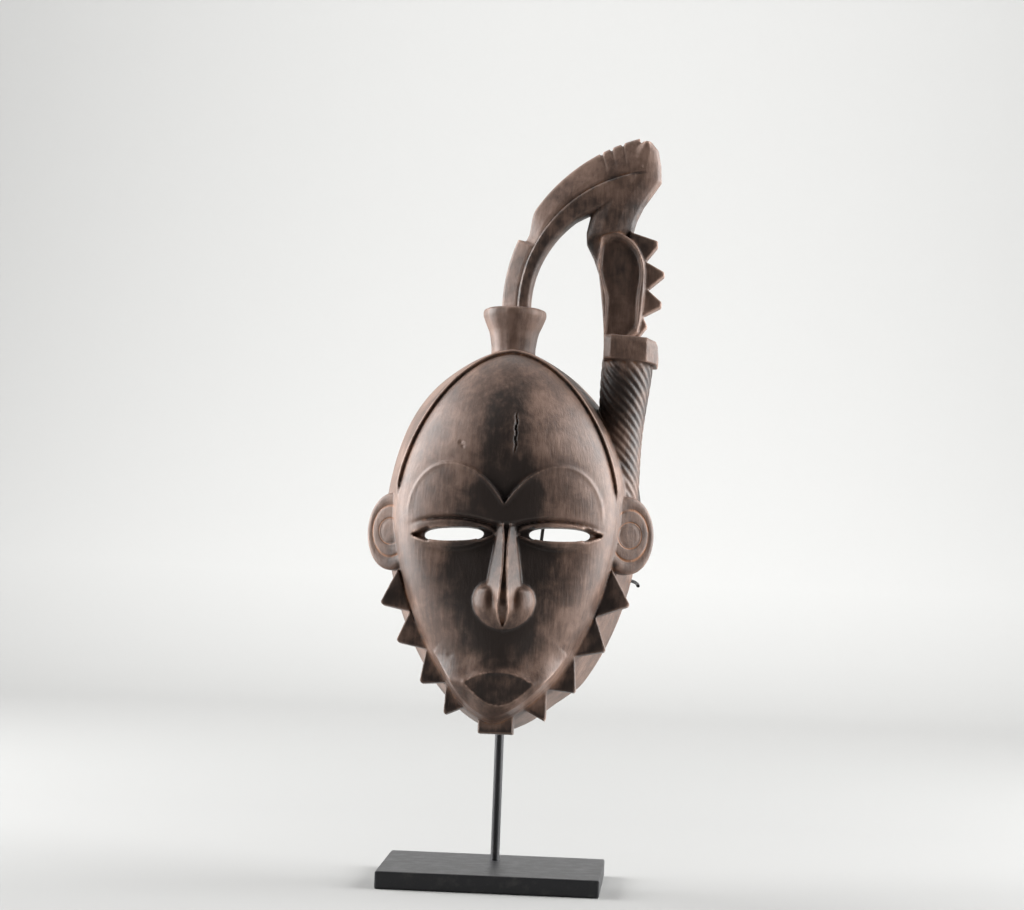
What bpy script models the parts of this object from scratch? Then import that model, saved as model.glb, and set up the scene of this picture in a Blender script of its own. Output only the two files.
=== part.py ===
"""A carved wooden face mask with a bird crest, standing on its thin steel rod stand.

Units are metres, +Z is up and the mask looks along -Y. The mask is shaped in its own upright frame,
with its origin at eye height in the plane of the face border, and then reclined on the stand."""

from math import atan2, cos, pi, radians, sin, sqrt, tan

import bmesh
import bpy
import numpy as np
from mathutils import Matrix, Vector
from mathutils.bvhtree import BVHTree

MM = 0.001

# Placing of the mask and the stand
EYE_HEIGHT = 239.0
RECLINE = 6.5
MASK_SHIFT_X = 1.6
MASK_SHIFT_Y = -36.0

# Face outline inside the border, measured from the outline's centre
FACE_CENTRE_X = 0.8
FACE_CENTRE_Z = 15.0
FACE_HALF_WIDTH = 73.5
FACE_TOP = 107.0
FACE_BOTTOM = 143.0
FACE_POWER_TOP = 1.75
FACE_POWER_BOTTOM = 1.63
BAND_WIDTH = 3.6
BAND_HEIGHT = 1.6

# Back rim of the shell
RIM_CENTRE_X = 2.6
RIM_CENTRE_Z = 20.0
RIM_HALF_WIDTH = 88.0
RIM_TOP = 113.0
RIM_BOTTOM = 150.0
RIM_POWER_TOP = 1.9
RIM_POWER_BOTTOM = 1.82
RIM_TOP_SHIFT = 4.5
RIM_DEPTH = 64.0
RIM_SLOPE = -0.09
WALL = 9.5

# Face relief
DOME_HEIGHT = 31.0
DOME_POWER = 2.3
DOME_ROUND = 0.62
FOREHEAD_SWELL = 6.0
BROW_RECESS = 6.5
BROW_RIDGE = 1.3
BROW_RIDGE_HALF = 2.4
BROW_CENTRE_X = 34.5
BROW_CENTRE_Z = 5.0
BROW_HALF_WIDTH = 30.5
BROW_RISE = 38.0
BROW_POWER = 2.3
EYE_CENTRES = ((-32.8, -3.0), (37.8, -1.0))
EYE_HALF_LENGTH = 20.2
EYE_HALF_HEIGHT = 4.6
LID_HALF_LENGTH = 29.5
LID_HALF_HEIGHT = 10.5
LID_HEIGHT = 4.0
NOSE_X = 2.6
NOSE_ROOT_Z = 17.0
NOSE_TIP_Z = -50.0
NOSE_WING_Z = -48.0
NOSE_END_Z = -66.0
NOSE_RISE_ROOT = 7.0
NOSE_RISE_TIP = 15.0
NOSE_HALF_ROOT = 4.6
NOSE_HALF_TIP = 10.5
NOSE_WING_HALF = 21.0
NOSE_GROOVE = 2.6
MOUTH_X = 1.8
MOUTH_TOP_Z = -96.0
MOUTH_CORNER_Z = -102.0
MOUTH_TIP_Z = -117.0
MOUTH_HALF_WIDTH = 22.0
MOUTH_FRONT = 34.0
MOUTH_LEAN = 0.12

# Ears
EAR_CENTRES = ((-78.0, 0.0), (84.2, 3.0))
EAR_Y = 15.0
EAR_HALF_WIDTH = 18.8
EAR_HALF_HEIGHT = 26.3
EAR_THICK = 11.0
EAR_TURN = 27.0
EAR_STEP = 1.2
EAR_BOSS = 8.7

# Beard fringe
TOOTH_FRONT = 9.0
TOOTH_THICK = 11.5
LEFT_ROOTS = ((-71.2, -26.0), (-61.6, -54.0), (-49.4, -79.0), (-34.9, -100.8), (-22.0, -116.6))
LEFT_TIPS = ((-81.8, -49.5), (-69.8, -74.5), (-52.9, -101.5), (-36.0, -121.8))
RIGHT_ROOTS = ((73.5, -21.0), (63.6, -53.0), (50.4, -80.1), (32.8, -102.8), (17.8, -117.0))
RIGHT_TIPS = ((85.8, -44.5), (70.9, -75.6), (52.0, -103.8), (32.6, -123.6))
BLOCK_X = -0.7
BLOCK_HALF_WIDTH = 11.8
BLOCK_BOTTOM = -134.0

# Crown cup
CUP_X = -0.7
CUP_Y = 28.0
CUP_BASE_Z = 118.0
CUP_TOP_Z = 156.2
CUP_BASE_R = 15.5
CUP_LIP_R = 21.5

# Crest, a bird's head with its beak set in the cup
CREST_Y = 30.0
BEAK_INNER = (86.0, 160.0, 76.0)
BEAK_CREASE = (98.5, 159.0, 97.0)
BEAK_OUTER = (116.1, 158.7, 126.0)
BEAK_THICK = 21.0
CASQUE_THICK = 11.0
CASQUE_NOTCH = 6.0

# Wing leaf, comb, collar and column
WING_THICK = 20.7
WING_SINK = 5.0
COMB_THICK = 12.0
COLLAR_HALF_DEPTH = 19.0
COLUMN_TOP = (78.2, 24.0, 126.0)
COLUMN_END = (70.6, 30.0, 22.0)
COLUMN_R = 16.6
FLUTES = 16
FLUTE_DEPTH = 1.7
FLUTE_ANGLE = 46.0

# Stand
ROD_R = 3.1
ROD_BACK = 65.2
ROD_TOP_DROP = 53.0
WIRE_R = 1.25
BASE_WIDTH = 150.0
BASE_DEPTH = 130.0
BASE_THICK = 12.0
BASE_BEVEL = 1.2
ROD_SEAT = 8.0
GAP = 0.3
REST_REACH = 4.0
FORE_REST = (31.0, 60.0)
PROP_REST = (-42.0, -40.0)


def clear_scene():
    for item in list(bpy.data.objects):
        bpy.data.objects.remove(item, do_unlink=True)


def make_collection(name, hidden=False):
    group = bpy.data.collections.new(name)
    bpy.context.scene.collection.children.link(group)
    group.hide_render = hidden
    return group


def material(name, colour, roughness, metallic):
    mat = bpy.data.materials.new(name)
    mat.use_nodes = True
    shader = mat.node_tree.nodes["Principled BSDF"]
    shader.inputs["Base Color"].default_value = (*colour, 1.0)
    shader.inputs["Roughness"].default_value = roughness
    shader.inputs["Metallic"].default_value = metallic
    return mat


def add_mesh(name, verts, faces, group):
    mesh = bpy.data.meshes.new(name)
    mesh.from_pydata([Vector(v) * MM for v in verts], [], faces)
    mesh.validate()
    obj = bpy.data.objects.new(name, mesh)
    group.objects.link(obj)
    return obj


def outward(obj):
    work = bmesh.new()
    work.from_mesh(obj.data)
    bmesh.ops.triangulate(work, faces=[f for f in work.faces if len(f.verts) == 4])
    bmesh.ops.recalc_face_normals(work, faces=work.faces)
    work.to_mesh(obj.data)
    work.free()


def loft(name, rings, group):
    """A closed body through rings of equal point count, capped at both ends."""
    count = len(rings[0])
    verts = [p for ring in rings for p in ring]
    faces = []
    for k in range(len(rings) - 1):
        for j in range(count):
            a = k * count + j
            b = k * count + (j + 1) % count
            faces.append((a, b, b + count, a + count))
    faces.append(tuple(range(count - 1, -1, -1)))
    last = (len(rings) - 1) * count
    faces.append(tuple(range(last, last + count)))
    obj = add_mesh(name, verts, faces, group)
    outward(obj)
    return obj


def plate(name, outline, front, thick, group, chamfer=0.0):
    """A flat board cut to an outline in x and z, with an optional chamfer on its front edge."""
    n = len(outline)
    cx = sum(p[0] for p in outline) / n
    cz = sum(p[1] for p in outline) / n
    rings = []
    if chamfer:
        small = []
        for x, z in outline:
            d = max(sqrt((x - cx) ** 2 + (z - cz) ** 2), 0.001)
            k = max(1.0 - chamfer / d, 0.2)
            small.append((cx + (x - cx) * k, front, cz + (z - cz) * k))
        rings.append(small)
    rings.append([(x, front + chamfer, z) for x, z in outline])
    rings.append([(x, front + thick, z) for x, z in outline])
    return loft(name, rings, group)


def join_body(body, tools, operation="UNION"):
    """Joins or cuts by one exact Boolean at a time, then takes the tools away."""
    for tool in tools:
        mod = body.modifiers.new("join", "BOOLEAN")
        mod.operation = operation
        mod.solver = "EXACT"
        mod.object = tool
        bpy.context.view_layer.update()
        shape = body.evaluated_get(bpy.context.evaluated_depsgraph_get())
        mesh = bpy.data.meshes.new_from_object(shape)
        body.modifiers.clear()
        body.data = mesh
        bpy.data.objects.remove(tool, do_unlink=True)


def smooth(low, high, value):
    t = np.clip((value - low) / (high - low), 0.0, 1.0)
    return t * t * (3.0 - 2.0 * t)


def oval(t, cx, cz, half, top, bottom, power_top, power_bottom):
    """One point of a two-part superellipse at parameter t, 0 at +x and pi/2 at the top."""
    power = power_top if sin(t) >= 0 else power_bottom
    tall = top if sin(t) >= 0 else bottom
    c = abs(cos(t)) ** (2.0 / power)
    s = abs(sin(t)) ** (2.0 / power)
    return cx + half * c * (1 if cos(t) >= 0 else -1), cz + tall * s * (1 if sin(t) >= 0 else -1)


def face_point(t, grow=0.0):
    return oval(
        t, FACE_CENTRE_X, FACE_CENTRE_Z, FACE_HALF_WIDTH + grow, FACE_TOP + grow,
        FACE_BOTTOM + grow, FACE_POWER_TOP, FACE_POWER_BOTTOM,
    )


def rim_point(t):
    x, z = oval(
        t, RIM_CENTRE_X, RIM_CENTRE_Z, RIM_HALF_WIDTH, RIM_TOP,
        RIM_BOTTOM, RIM_POWER_TOP, RIM_POWER_BOTTOM,
    )
    return x - RIM_TOP_SHIFT * float(smooth(40.0, 110.0, z)), z


def face_level(x, z):
    """0 at the outline's centre, 1 on the outline."""
    dx = np.abs(x - FACE_CENTRE_X) / FACE_HALF_WIDTH
    up = (np.abs(z - FACE_CENTRE_Z) / FACE_TOP) ** FACE_POWER_TOP + dx ** FACE_POWER_TOP
    down = (np.abs(z - FACE_CENTRE_Z) / FACE_BOTTOM) ** FACE_POWER_BOTTOM + dx ** FACE_POWER_BOTTOM
    return np.where(z > FACE_CENTRE_Z, up ** (1 / FACE_POWER_TOP), down ** (1 / FACE_POWER_BOTTOM))


def brow_level(x, z):
    """1 on the brow arc, smaller inside the eye hollow."""
    side = np.abs(np.abs(x) - BROW_CENTRE_X) / BROW_HALF_WIDTH
    tall = np.where(z > BROW_CENTRE_Z, BROW_RISE, 85.0)
    rise = np.abs(z - BROW_CENTRE_Z) / tall
    return (side ** BROW_POWER + rise ** BROW_POWER) ** (1 / BROW_POWER)


def dome(x, z):
    level = np.clip(face_level(x, z), 0.0, 1.0)
    high = DOME_HEIGHT * (1.0 - level ** DOME_POWER) ** DOME_ROUND
    swell = np.exp(-(((x - FACE_CENTRE_X) / 48.0) ** 2) - ((z - 68.0) / 34.0) ** 2)
    return high + FOREHEAD_SWELL * swell * (1.0 - level ** 6)


def hollow(x, z):
    """Depth of the eye hollow under the brow, fading down the cheek."""
    inside = 1.0 - smooth(0.90, 1.02, brow_level(x, z))
    fade = smooth(-70.0, 5.0, z)
    return BROW_RECESS * inside * fade


def relief(x, z):
    """Height of the face in front of the border plane, without the nose, lips and brow ridges."""
    high = dome(x, z) - hollow(x, z)
    for cx, cz in EYE_CENTRES:
        lid = np.sqrt(((x - cx) / LID_HALF_LENGTH) ** 2 + ((z - cz) / LID_HALF_HEIGHT) ** 2)
        high = high + LID_HEIGHT * (1.0 - smooth(0.55, 1.12, lid))
    return high


def height_at(x, z):
    return float(relief(np.float64(x), np.float64(z)))


def rim_depth(z):
    return RIM_DEPTH + RIM_SLOPE * z


def wall_point(t, w, inset=0.0):
    """A point of the side wall: w is 0 at the border band and 1 at the back rim."""
    bx, bz = face_point(t, BAND_WIDTH)
    rx, rz = rim_point(t)
    blend = w ** 0.75
    x = bx + (rx - bx) * blend
    z = bz + (rz - bz) * blend
    y = 2.0 + (rim_depth(z) - 2.0) * w
    if inset:
        d = sqrt((x - FACE_CENTRE_X) ** 2 + (z - FACE_CENTRE_Z) ** 2)
        k = 1.0 - inset / d
        x = FACE_CENTRE_X + (x - FACE_CENTRE_X) * k
        z = FACE_CENTRE_Z + (z - FACE_CENTRE_Z) * k
    return x, y, z


def build_shell(group):
    spokes = 72
    angles = [2 * pi * (k + 0.5) / spokes for k in range(spokes)]
    levels = [0.09, 0.19, 0.28, 0.37, 0.46, 0.55, 0.63, 0.71, 0.78, 0.85, 0.91, 0.96]
    rings = []
    for s in levels:
        ring = []
        for t in angles:
            x, z = face_point(t)
            x = FACE_CENTRE_X + (x - FACE_CENTRE_X) * s
            z = FACE_CENTRE_Z + (z - FACE_CENTRE_Z) * s
            ring.append((x, -height_at(x, z), z))
        rings.append(ring)
    rings.append([(face_point(t)[0], 0.0, face_point(t)[1]) for t in angles])
    rings.append([(face_point(t, 0.9)[0], -BAND_HEIGHT, face_point(t, 0.9)[1]) for t in angles])
    rings.append([(face_point(t, 3.0)[0], -BAND_HEIGHT * 0.7, face_point(t, 3.0)[1]) for t in angles])
    for w in (0.0, 0.4, 1.0):
        rings.append([wall_point(t, w) for t in angles])
    for w in (1.0, 0.18):
        rings.append([wall_point(t, w, WALL) for t in angles])
    for s in (0.80, 0.55, 0.30, 0.1):
        ring = []
        for t in angles:
            x, z = face_point(t)
            x = FACE_CENTRE_X + (x - FACE_CENTRE_X) * s
            z = FACE_CENTRE_Z + (z - FACE_CENTRE_Z) * s
            px, pz = np.float64(x), np.float64(z)
            ring.append((x, -float(dome(px, pz) - 0.75 * hollow(px, pz)) + WALL, z))
        rings.append(ring)
    return loft("mask", rings, group)


def cut_eyes(body, group):
    for k, (cx, cz) in enumerate(EYE_CENTRES):
        rings = []
        for depth in (-60.0, 20.0):
            ring = []
            for j in range(24):
                t = 2 * pi * j / 24
                x = cx + EYE_HALF_LENGTH * cos(t)
                z = cz + 0.03 * (x - cx) + EYE_HALF_HEIGHT * sin(t) * (1.0 - 0.35 * abs(cos(t)) ** 3)
                ring.append((x, depth, z))
            rings.append(ring)
        cutter = loft(f"eye_cutter_{k}", rings, group)
        join_body(body, [cutter], "DIFFERENCE")


def ear(k, group):
    cx, cz = EAR_CENTRES[k]
    side = -1 if cx < 0 else 1
    turn = radians(EAR_TURN) * side
    profile = (
        (1.0, EAR_THICK), (1.0, 0.8), (0.955, 0.0), (0.80, 0.0), (0.78, EAR_STEP),
        (0.48, EAR_STEP), (0.45, 0.0),
    )
    rings = []
    for share, depth in profile:
        ring = []
        for j in range(26):
            t = 2 * pi * j / 26
            a = EAR_HALF_WIDTH * share if share > 0.5 else EAR_BOSS * share / 0.47
            b = EAR_HALF_HEIGHT * share if share > 0.5 else EAR_BOSS * share / 0.47
            u = a * cos(t)
            x = cx + u * cos(turn) - depth * sin(turn)
            y = EAR_Y + u * sin(turn) + depth * cos(turn) - 5.0
            ring.append((x, y, cz + b * sin(t)))
        rings.append(ring)
    return loft(f"ear_{k}", rings, group)


def brow(side, group):
    """The thin raised ridge along one brow, a four-sided bar laid on the face."""
    rings = []
    for k in range(19):
        t = radians(-1.0 + 172.0 * k / 18)
        c, d = cos(t), sin(t)
        power = 2.0 / BROW_POWER
        x = BROW_HALF_WIDTH * abs(c) ** power * (-1 if c < 0 else 1)
        x = side * (BROW_CENTRE_X + x * 1.02)
        z = BROW_CENTRE_Z + BROW_RISE * 1.03 * abs(d) ** power * (-1 if d < 0 else 1)
        y = -float(dome(np.float64(x), np.float64(z)))
        cx, cz = side * BROW_CENTRE_X, BROW_CENTRE_Z
        far = sqrt((x - cx) ** 2 + (z - cz) ** 2)
        ox, oz = (x - cx) / far, (z - cz) / far
        fade = min(1.0, 0.25 + k / 4.0, 0.7 + (18 - k) / 8.0)
        w = BROW_RIDGE_HALF * fade
        rings.append([
            (x + ox * w, y + 1.6, z + oz * w), (x + ox * 0.3, y - BROW_RIDGE * fade, z + oz * 0.3),
            (x - ox * w, y + 2.6, z - oz * w), (x, y + 6.0, z),
        ])
    return loft(f"brow_{side}", rings, group)


def nose(group):
    """Two long ridges with a groove between, widening to scooped wings."""
    rings = []
    for k in range(14):
        u = k / 13
        z = NOSE_ROOT_Z + (NOSE_END_Z - NOSE_ROOT_Z) * u
        down = min(1.0, (NOSE_ROOT_Z - z) / (NOSE_ROOT_Z - NOSE_TIP_Z))
        wing = float(smooth(-28.0, NOSE_WING_Z, z))
        tail = float(smooth(NOSE_WING_Z - 2.0, NOSE_END_Z, z))
        centre = NOSE_HALF_ROOT + (NOSE_HALF_TIP - NOSE_HALF_ROOT) * down
        half = centre + (NOSE_WING_HALF - centre) * wing
        half = half * (1.0 - 0.72 * tail ** 2)
        rise = NOSE_RISE_ROOT + (NOSE_RISE_TIP - NOSE_RISE_ROOT) * down ** 1.2
        rise = rise * (1.0 - 0.55 * tail ** 3)
        groove = NOSE_GROOVE * min(1.0, 3.0 * u) * (1.0 - 0.4 * tail)
        inner = min(centre * 0.62, half * 0.45)
        side = 0.62 - 0.10 * wing
        base = height_at(NOSE_X + half, z) - 4.0
        floor = height_at(NOSE_X, z)
        marks = (
            (-1.0, base), (-0.94, floor + rise * 0.30), (-0.74, floor + rise * side),
            (-inner * 1.5 / half, floor + rise * (side + 0.05)), (-inner / half, floor + rise * 0.9),
            (-1.6 / half, floor + rise), (0.0, floor + rise - groove),
        )
        ring = [(NOSE_X + half * m, -y, z) for m, y in marks]
        ring += [(NOSE_X - half * m, -y, z) for m, y in reversed(marks[:-1])]
        rings.append(ring)
    return loft("nose", rings, group)


def mouth(group):
    """The lips, pushed out from the chin to a flat front."""
    rings = []
    for share, depth in ((1.10, -14.0), (1.06, 0.0), (1.0, 0.86), (0.93, 1.0)):
        ring = []
        for j in range(24):
            t = 2 * pi * (j + 0.5) / 24
            u = cos(t)
            x = MOUTH_X + MOUTH_HALF_WIDTH * share * u
            if sin(t) > 0:
                z = MOUTH_CORNER_Z + (MOUTH_TOP_Z - MOUTH_CORNER_Z) * (1.0 - abs(u) ** 2.4) * share
            else:
                z = MOUTH_CORNER_Z + (MOUTH_TIP_Z - MOUTH_CORNER_Z) * (1.0 - abs(u) ** 1.7) * share
            back = height_at(x, z)
            front = MOUTH_FRONT - MOUTH_LEAN * (z - MOUTH_CORNER_Z)
            y = back - 8.0 if depth < 0 else back + (front - back) * depth
            ring.append((x, -y, z))
        rings.append(ring)
    return loft("mouth", rings, group)


def beard(group):
    pieces = []
    for side, roots, tips in ((-1, LEFT_ROOTS, LEFT_TIPS), (1, RIGHT_ROOTS, RIGHT_TIPS)):
        for k, (tip_x, tip_z) in enumerate(tips):
            outline = [roots[k], (tip_x, tip_z + 1.2), (tip_x - 1.0 * side, tip_z - 0.6), roots[k + 1]]
            if side > 0:
                outline.reverse()
            pieces.append(plate(f"tooth_{side}_{k}", outline, TOOTH_FRONT, TOOTH_THICK, group))
    outline = [
        (BLOCK_X - BLOCK_HALF_WIDTH, -117.0), (BLOCK_X - BLOCK_HALF_WIDTH, BLOCK_BOTTOM),
        (BLOCK_X + BLOCK_HALF_WIDTH, BLOCK_BOTTOM), (BLOCK_X + BLOCK_HALF_WIDTH, -117.0),
    ]
    pieces.append(plate("block", outline, TOOTH_FRONT - 0.3, TOOTH_THICK + 3.0, group))
    return pieces


def cup(group):
    profile = (
        (CUP_BASE_R + 1.5, CUP_BASE_Z), (CUP_BASE_R, CUP_BASE_Z + 12.0),
        (CUP_BASE_R + 0.6, CUP_BASE_Z + 20.0), (CUP_BASE_R + 2.6, CUP_BASE_Z + 27.0),
        (CUP_LIP_R, CUP_TOP_Z - 6.5), (CUP_LIP_R + 0.2, CUP_TOP_Z - 3.5),
        (CUP_LIP_R - 2.2, CUP_TOP_Z), (CUP_LIP_R - 7.0, CUP_TOP_Z + 0.5),
    )
    rings = []
    for r, z in profile:
        ring = []
        for j in range(24):
            t = 2 * pi * j / 24
            ring.append((CUP_X + r * cos(t), CUP_Y + r * sin(t), z))
        rings.append(ring)
    return loft("cup", rings, group)


def arc(circle, z_or_turn):
    cx, cz, r = circle
    return cx - r * cos(z_or_turn), cz + r * sin(z_or_turn)


def notch(turn):
    return CASQUE_NOTCH * float(smooth(0.385, 0.40, turn) * (1.0 - smooth(0.50, 0.66, turn)))


def bar_ring(ax, az, bx, bz, thick, corner):
    """Eight points round a bar section whose edges run through two points in x and z."""
    dx, dz = bx - ax, bz - az
    d = sqrt(dx * dx + dz * dz)
    k = min(corner / d, 0.3)
    h = thick / 2
    c = min(corner, h * 0.8)
    marks = (
        (0.0, -h + c), (k, -h), (1 - k, -h), (1.0, -h + c),
        (1.0, h - c), (1 - k, h), (k, h), (0.0, h - c),
    )
    return [(ax + dx * m, CREST_Y + y, az + dz * m) for m, y in marks]


def crest(group):
    pieces = []
    steps = 18
    rings = []
    for k in range(steps + 1):
        u = k / steps
        ix, iz = arc(BEAK_INNER, -0.06 + 1.20 * u)
        cx, cz = arc(BEAK_CREASE, -0.05 + 1.47 * u)
        if u > 0.80:
            ix += (u - 0.80) * 130.0
            iz += (u - 0.80) * 55.0
        rings.append(bar_ring(ix, iz, cx, cz, BEAK_THICK, 3.0))
    pieces.append(loft("beak", rings, group))
    rings = []
    for k in range(24):
        u = 0.003 + 0.991 * k / 23
        turn = -0.05 + 1.34 * u
        ox, oz = arc(BEAK_OUTER, turn)
        cx, cz = arc(BEAK_CREASE, -0.05 + 1.47 * u)
        dx, dz = cx - ox, cz - oz
        d = sqrt(dx * dx + dz * dz)
        cut = notch(turn)
        ox, oz = ox + dx / d * cut, oz + dz / d * cut
        cx, cz = cx + dx / d * 4.3, cz + dz / d * 4.3
        rings.append(bar_ring(ox, oz, cx, cz, CASQUE_THICK, 1.5))
    pieces.append(loft("casque", rings, group))
    stations = (
        (82.5, 277.0, 88.5, 276.5), (77.0, 272.0, 93.4, 270.5), (70.0, 264.0, 95.5, 260.0),
        (64.0, 254.0, 96.2, 249.0), (54.0, 240.0, 90.0, 239.6),
        (48.5, 224.0, 84.4, 231.0), (46.0, 212.0, 80.2, 221.5), (46.5, 204.0, 77.6, 211.0),
        (51.5, 194.5, 78.0, 200.0), (55.5, 184.0, 78.0, 190.0),
    )
    rings = [bar_ring(a, b, c, d, BEAK_THICK - 1.0, 3.0) for a, b, c, d in stations]
    pieces.append(loft("neck", rings, group))
    leaf = []
    for k in range(9):
        u = k / 8
        leaf.append((61.0 - 6.5 * u ** 1.5, 134.0 + 56.0 * u))
    for k in range(13):
        u = k / 12
        t = radians(118.0 - 178.0 * u)
        leaf.append((66.5 + 20.8 * cos(t) ** 1.0, 183.0 + 28.5 * sin(t)) if t > 0 else
                    (66.5 + 20.8 * cos(t * 0.55), 183.0 + 46.0 * sin(t)))
    leaf = [p for p in leaf if p[1] > 133.0]
    leaf.append((74.0, 134.0))
    pieces.append(plate("wing", leaf, CREST_Y - WING_THICK / 2, WING_THICK, group, 0.8))
    comb = (
        ((76.0, 213.5), (95.2, 207.6), (95.4, 204.0), (88.0, 194.3), (76.0, 192.0)),
        ((84.0, 194.0), (89.0, 192.4), (100.2, 186.4), (100.8, 183.8), (90.6, 174.8), (80.0, 174.0)),
        ((82.0, 176.0), (89.0, 174.2), (99.4, 165.4), (99.2, 162.2), (88.4, 156.2), (78.0, 157.0)),
        ((80.0, 159.0), (87.2, 154.9), (90.2, 148.4), (85.0, 141.5), (74.0, 138.0)),
    )
    for k, outline in enumerate(comb):
        pieces.append(plate(f"comb_{k}", outline, CREST_Y - COMB_THICK / 2, COMB_THICK, group))
    return pieces


def wing_field(group):
    outline = []
    for k in range(25):
        t = 2 * pi * k / 25
        x = 71.5 + 12.8 * cos(t) * (1.0 - 0.12 * sin(t)) + 1.5 * sin(t)
        z = 172.0 + 36.5 * sin(t)
        outline.append((x, z))
    return plate("wing_field", outline, CREST_Y - WING_THICK / 2 - 5.0, 5.0 + WING_SINK, group)


def collar(group):
    front = CREST_Y - 6.0 - COLLAR_HALF_DEPTH
    back = front + 2 * COLLAR_HALF_DEPTH
    left, edge, right = 61.4, 90.5, 98.4
    rings = []
    for z, grow in ((123.5, 0.0), (131.0, 0.0), (136.5, -0.5), (140.0, -3.0)):
        drop = 0.0
        ring = [
            (left, front + 4.0 - grow, z), (left + 5.0, front - grow, z),
            (edge, front + 1.5 - grow, z - 1.5), (right + grow, front + 9.0, z - 3.0 - drop),
            (right + grow, back - 9.0, z - 3.0 - drop), (edge, back - 1.5 + grow, z - 1.5),
            (left + 5.0, back + grow, z), (left, back - 4.0 + grow, z),
        ]
        rings.append(ring)
    return loft("collar", rings, group)


def column(group):
    top, end = Vector(COLUMN_TOP), Vector(COLUMN_END)
    axis = end - top
    length = axis.length
    steps = 16
    twist = tan(radians(FLUTE_ANGLE)) / COLUMN_R
    rings = []
    for k in range(steps + 1):
        centre = top + axis * (k / steps)
        down = length * k / steps
        ring = []
        for j in range(2 * FLUTES):
            r = COLUMN_R if j % 2 == 0 else COLUMN_R - FLUTE_DEPTH
            t = pi * j / FLUTES + twist * down
            ring.append((centre.x + r * sin(t), centre.y - r * cos(t), centre.z))
        rings.append(ring)
    return loft("column", rings, group)


def trim_to_wall(tools, group):
    """Cuts each added part off inside the wood of the wall, so that none reaches the hollow."""
    spokes = 48
    angles = [2 * pi * (k + 0.5) / spokes for k in range(spokes)]
    for tool in tools:
        rings = []
        for w, extra in ((1.0, 40.0), (1.0, 0.0), (0.5, 0.0), (0.0, 0.0), (0.0, -30.0)):
            ring = []
            for t in angles:
                x, y, z = wall_point(t, w, WALL * 0.5)
                ring.append((x, y + extra, z))
            rings.append(ring)
        cutter = loft("hollow_cutter", rings, group)
        join_body(tool, [cutter], "DIFFERENCE")


def tidy(body):
    work = bmesh.new()
    work.from_mesh(body.data)
    bmesh.ops.remove_doubles(work, verts=work.verts, dist=0.00002)
    bmesh.ops.dissolve_degenerate(work, edges=work.edges, dist=0.00002)
    bmesh.ops.triangulate(work, faces=work.faces)
    bmesh.ops.recalc_face_normals(work, faces=work.faces)
    work.to_mesh(body.data)
    work.free()


def mask_to_world(point):
    a = radians(RECLINE)
    x, y, z = point
    return Vector((
        x + MASK_SHIFT_X, y * cos(a) + z * sin(a) + MASK_SHIFT_Y,
        -y * sin(a) + z * cos(a) + EYE_HEIGHT,
    ))


def wire(name, points, radius, group):
    curve = bpy.data.curves.new(name, "CURVE")
    curve.dimensions = "3D"
    curve.bevel_depth = radius * MM
    curve.bevel_resolution = 1
    curve.use_fill_caps = True
    spline = curve.splines.new("POLY")
    spline.points.add(len(points) - 1)
    for k, p in enumerate(points):
        spline.points[k].co = (*(Vector(p) * MM), 1.0)
    obj = bpy.data.objects.new(name, curve)
    group.objects.link(obj)
    bpy.context.view_layer.update()
    shape = obj.evaluated_get(bpy.context.evaluated_depsgraph_get())
    mesh = bpy.data.meshes.new_from_object(shape)
    solid = bpy.data.objects.new(name, mesh)
    group.objects.link(solid)
    bpy.data.objects.remove(obj, do_unlink=True)
    work = bmesh.new()
    work.from_mesh(mesh)
    bmesh.ops.remove_doubles(work, verts=work.verts, dist=0.00001)
    bmesh.ops.recalc_face_normals(work, faces=work.faces)
    work.to_mesh(mesh)
    work.free()
    return solid


def bend(points, rounds=1):
    """Rounds the corners of a route by cutting them."""
    for _ in range(rounds):
        new = [points[0]]
        for a, b in zip(points[:-1], points[1:]):
            a, b = Vector(a), Vector(b)
            new.append(a.lerp(b, 0.25))
            new.append(a.lerp(b, 0.75))
        new.append(points[-1])
        points = [Vector(p) for p in new]
    return points


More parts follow.
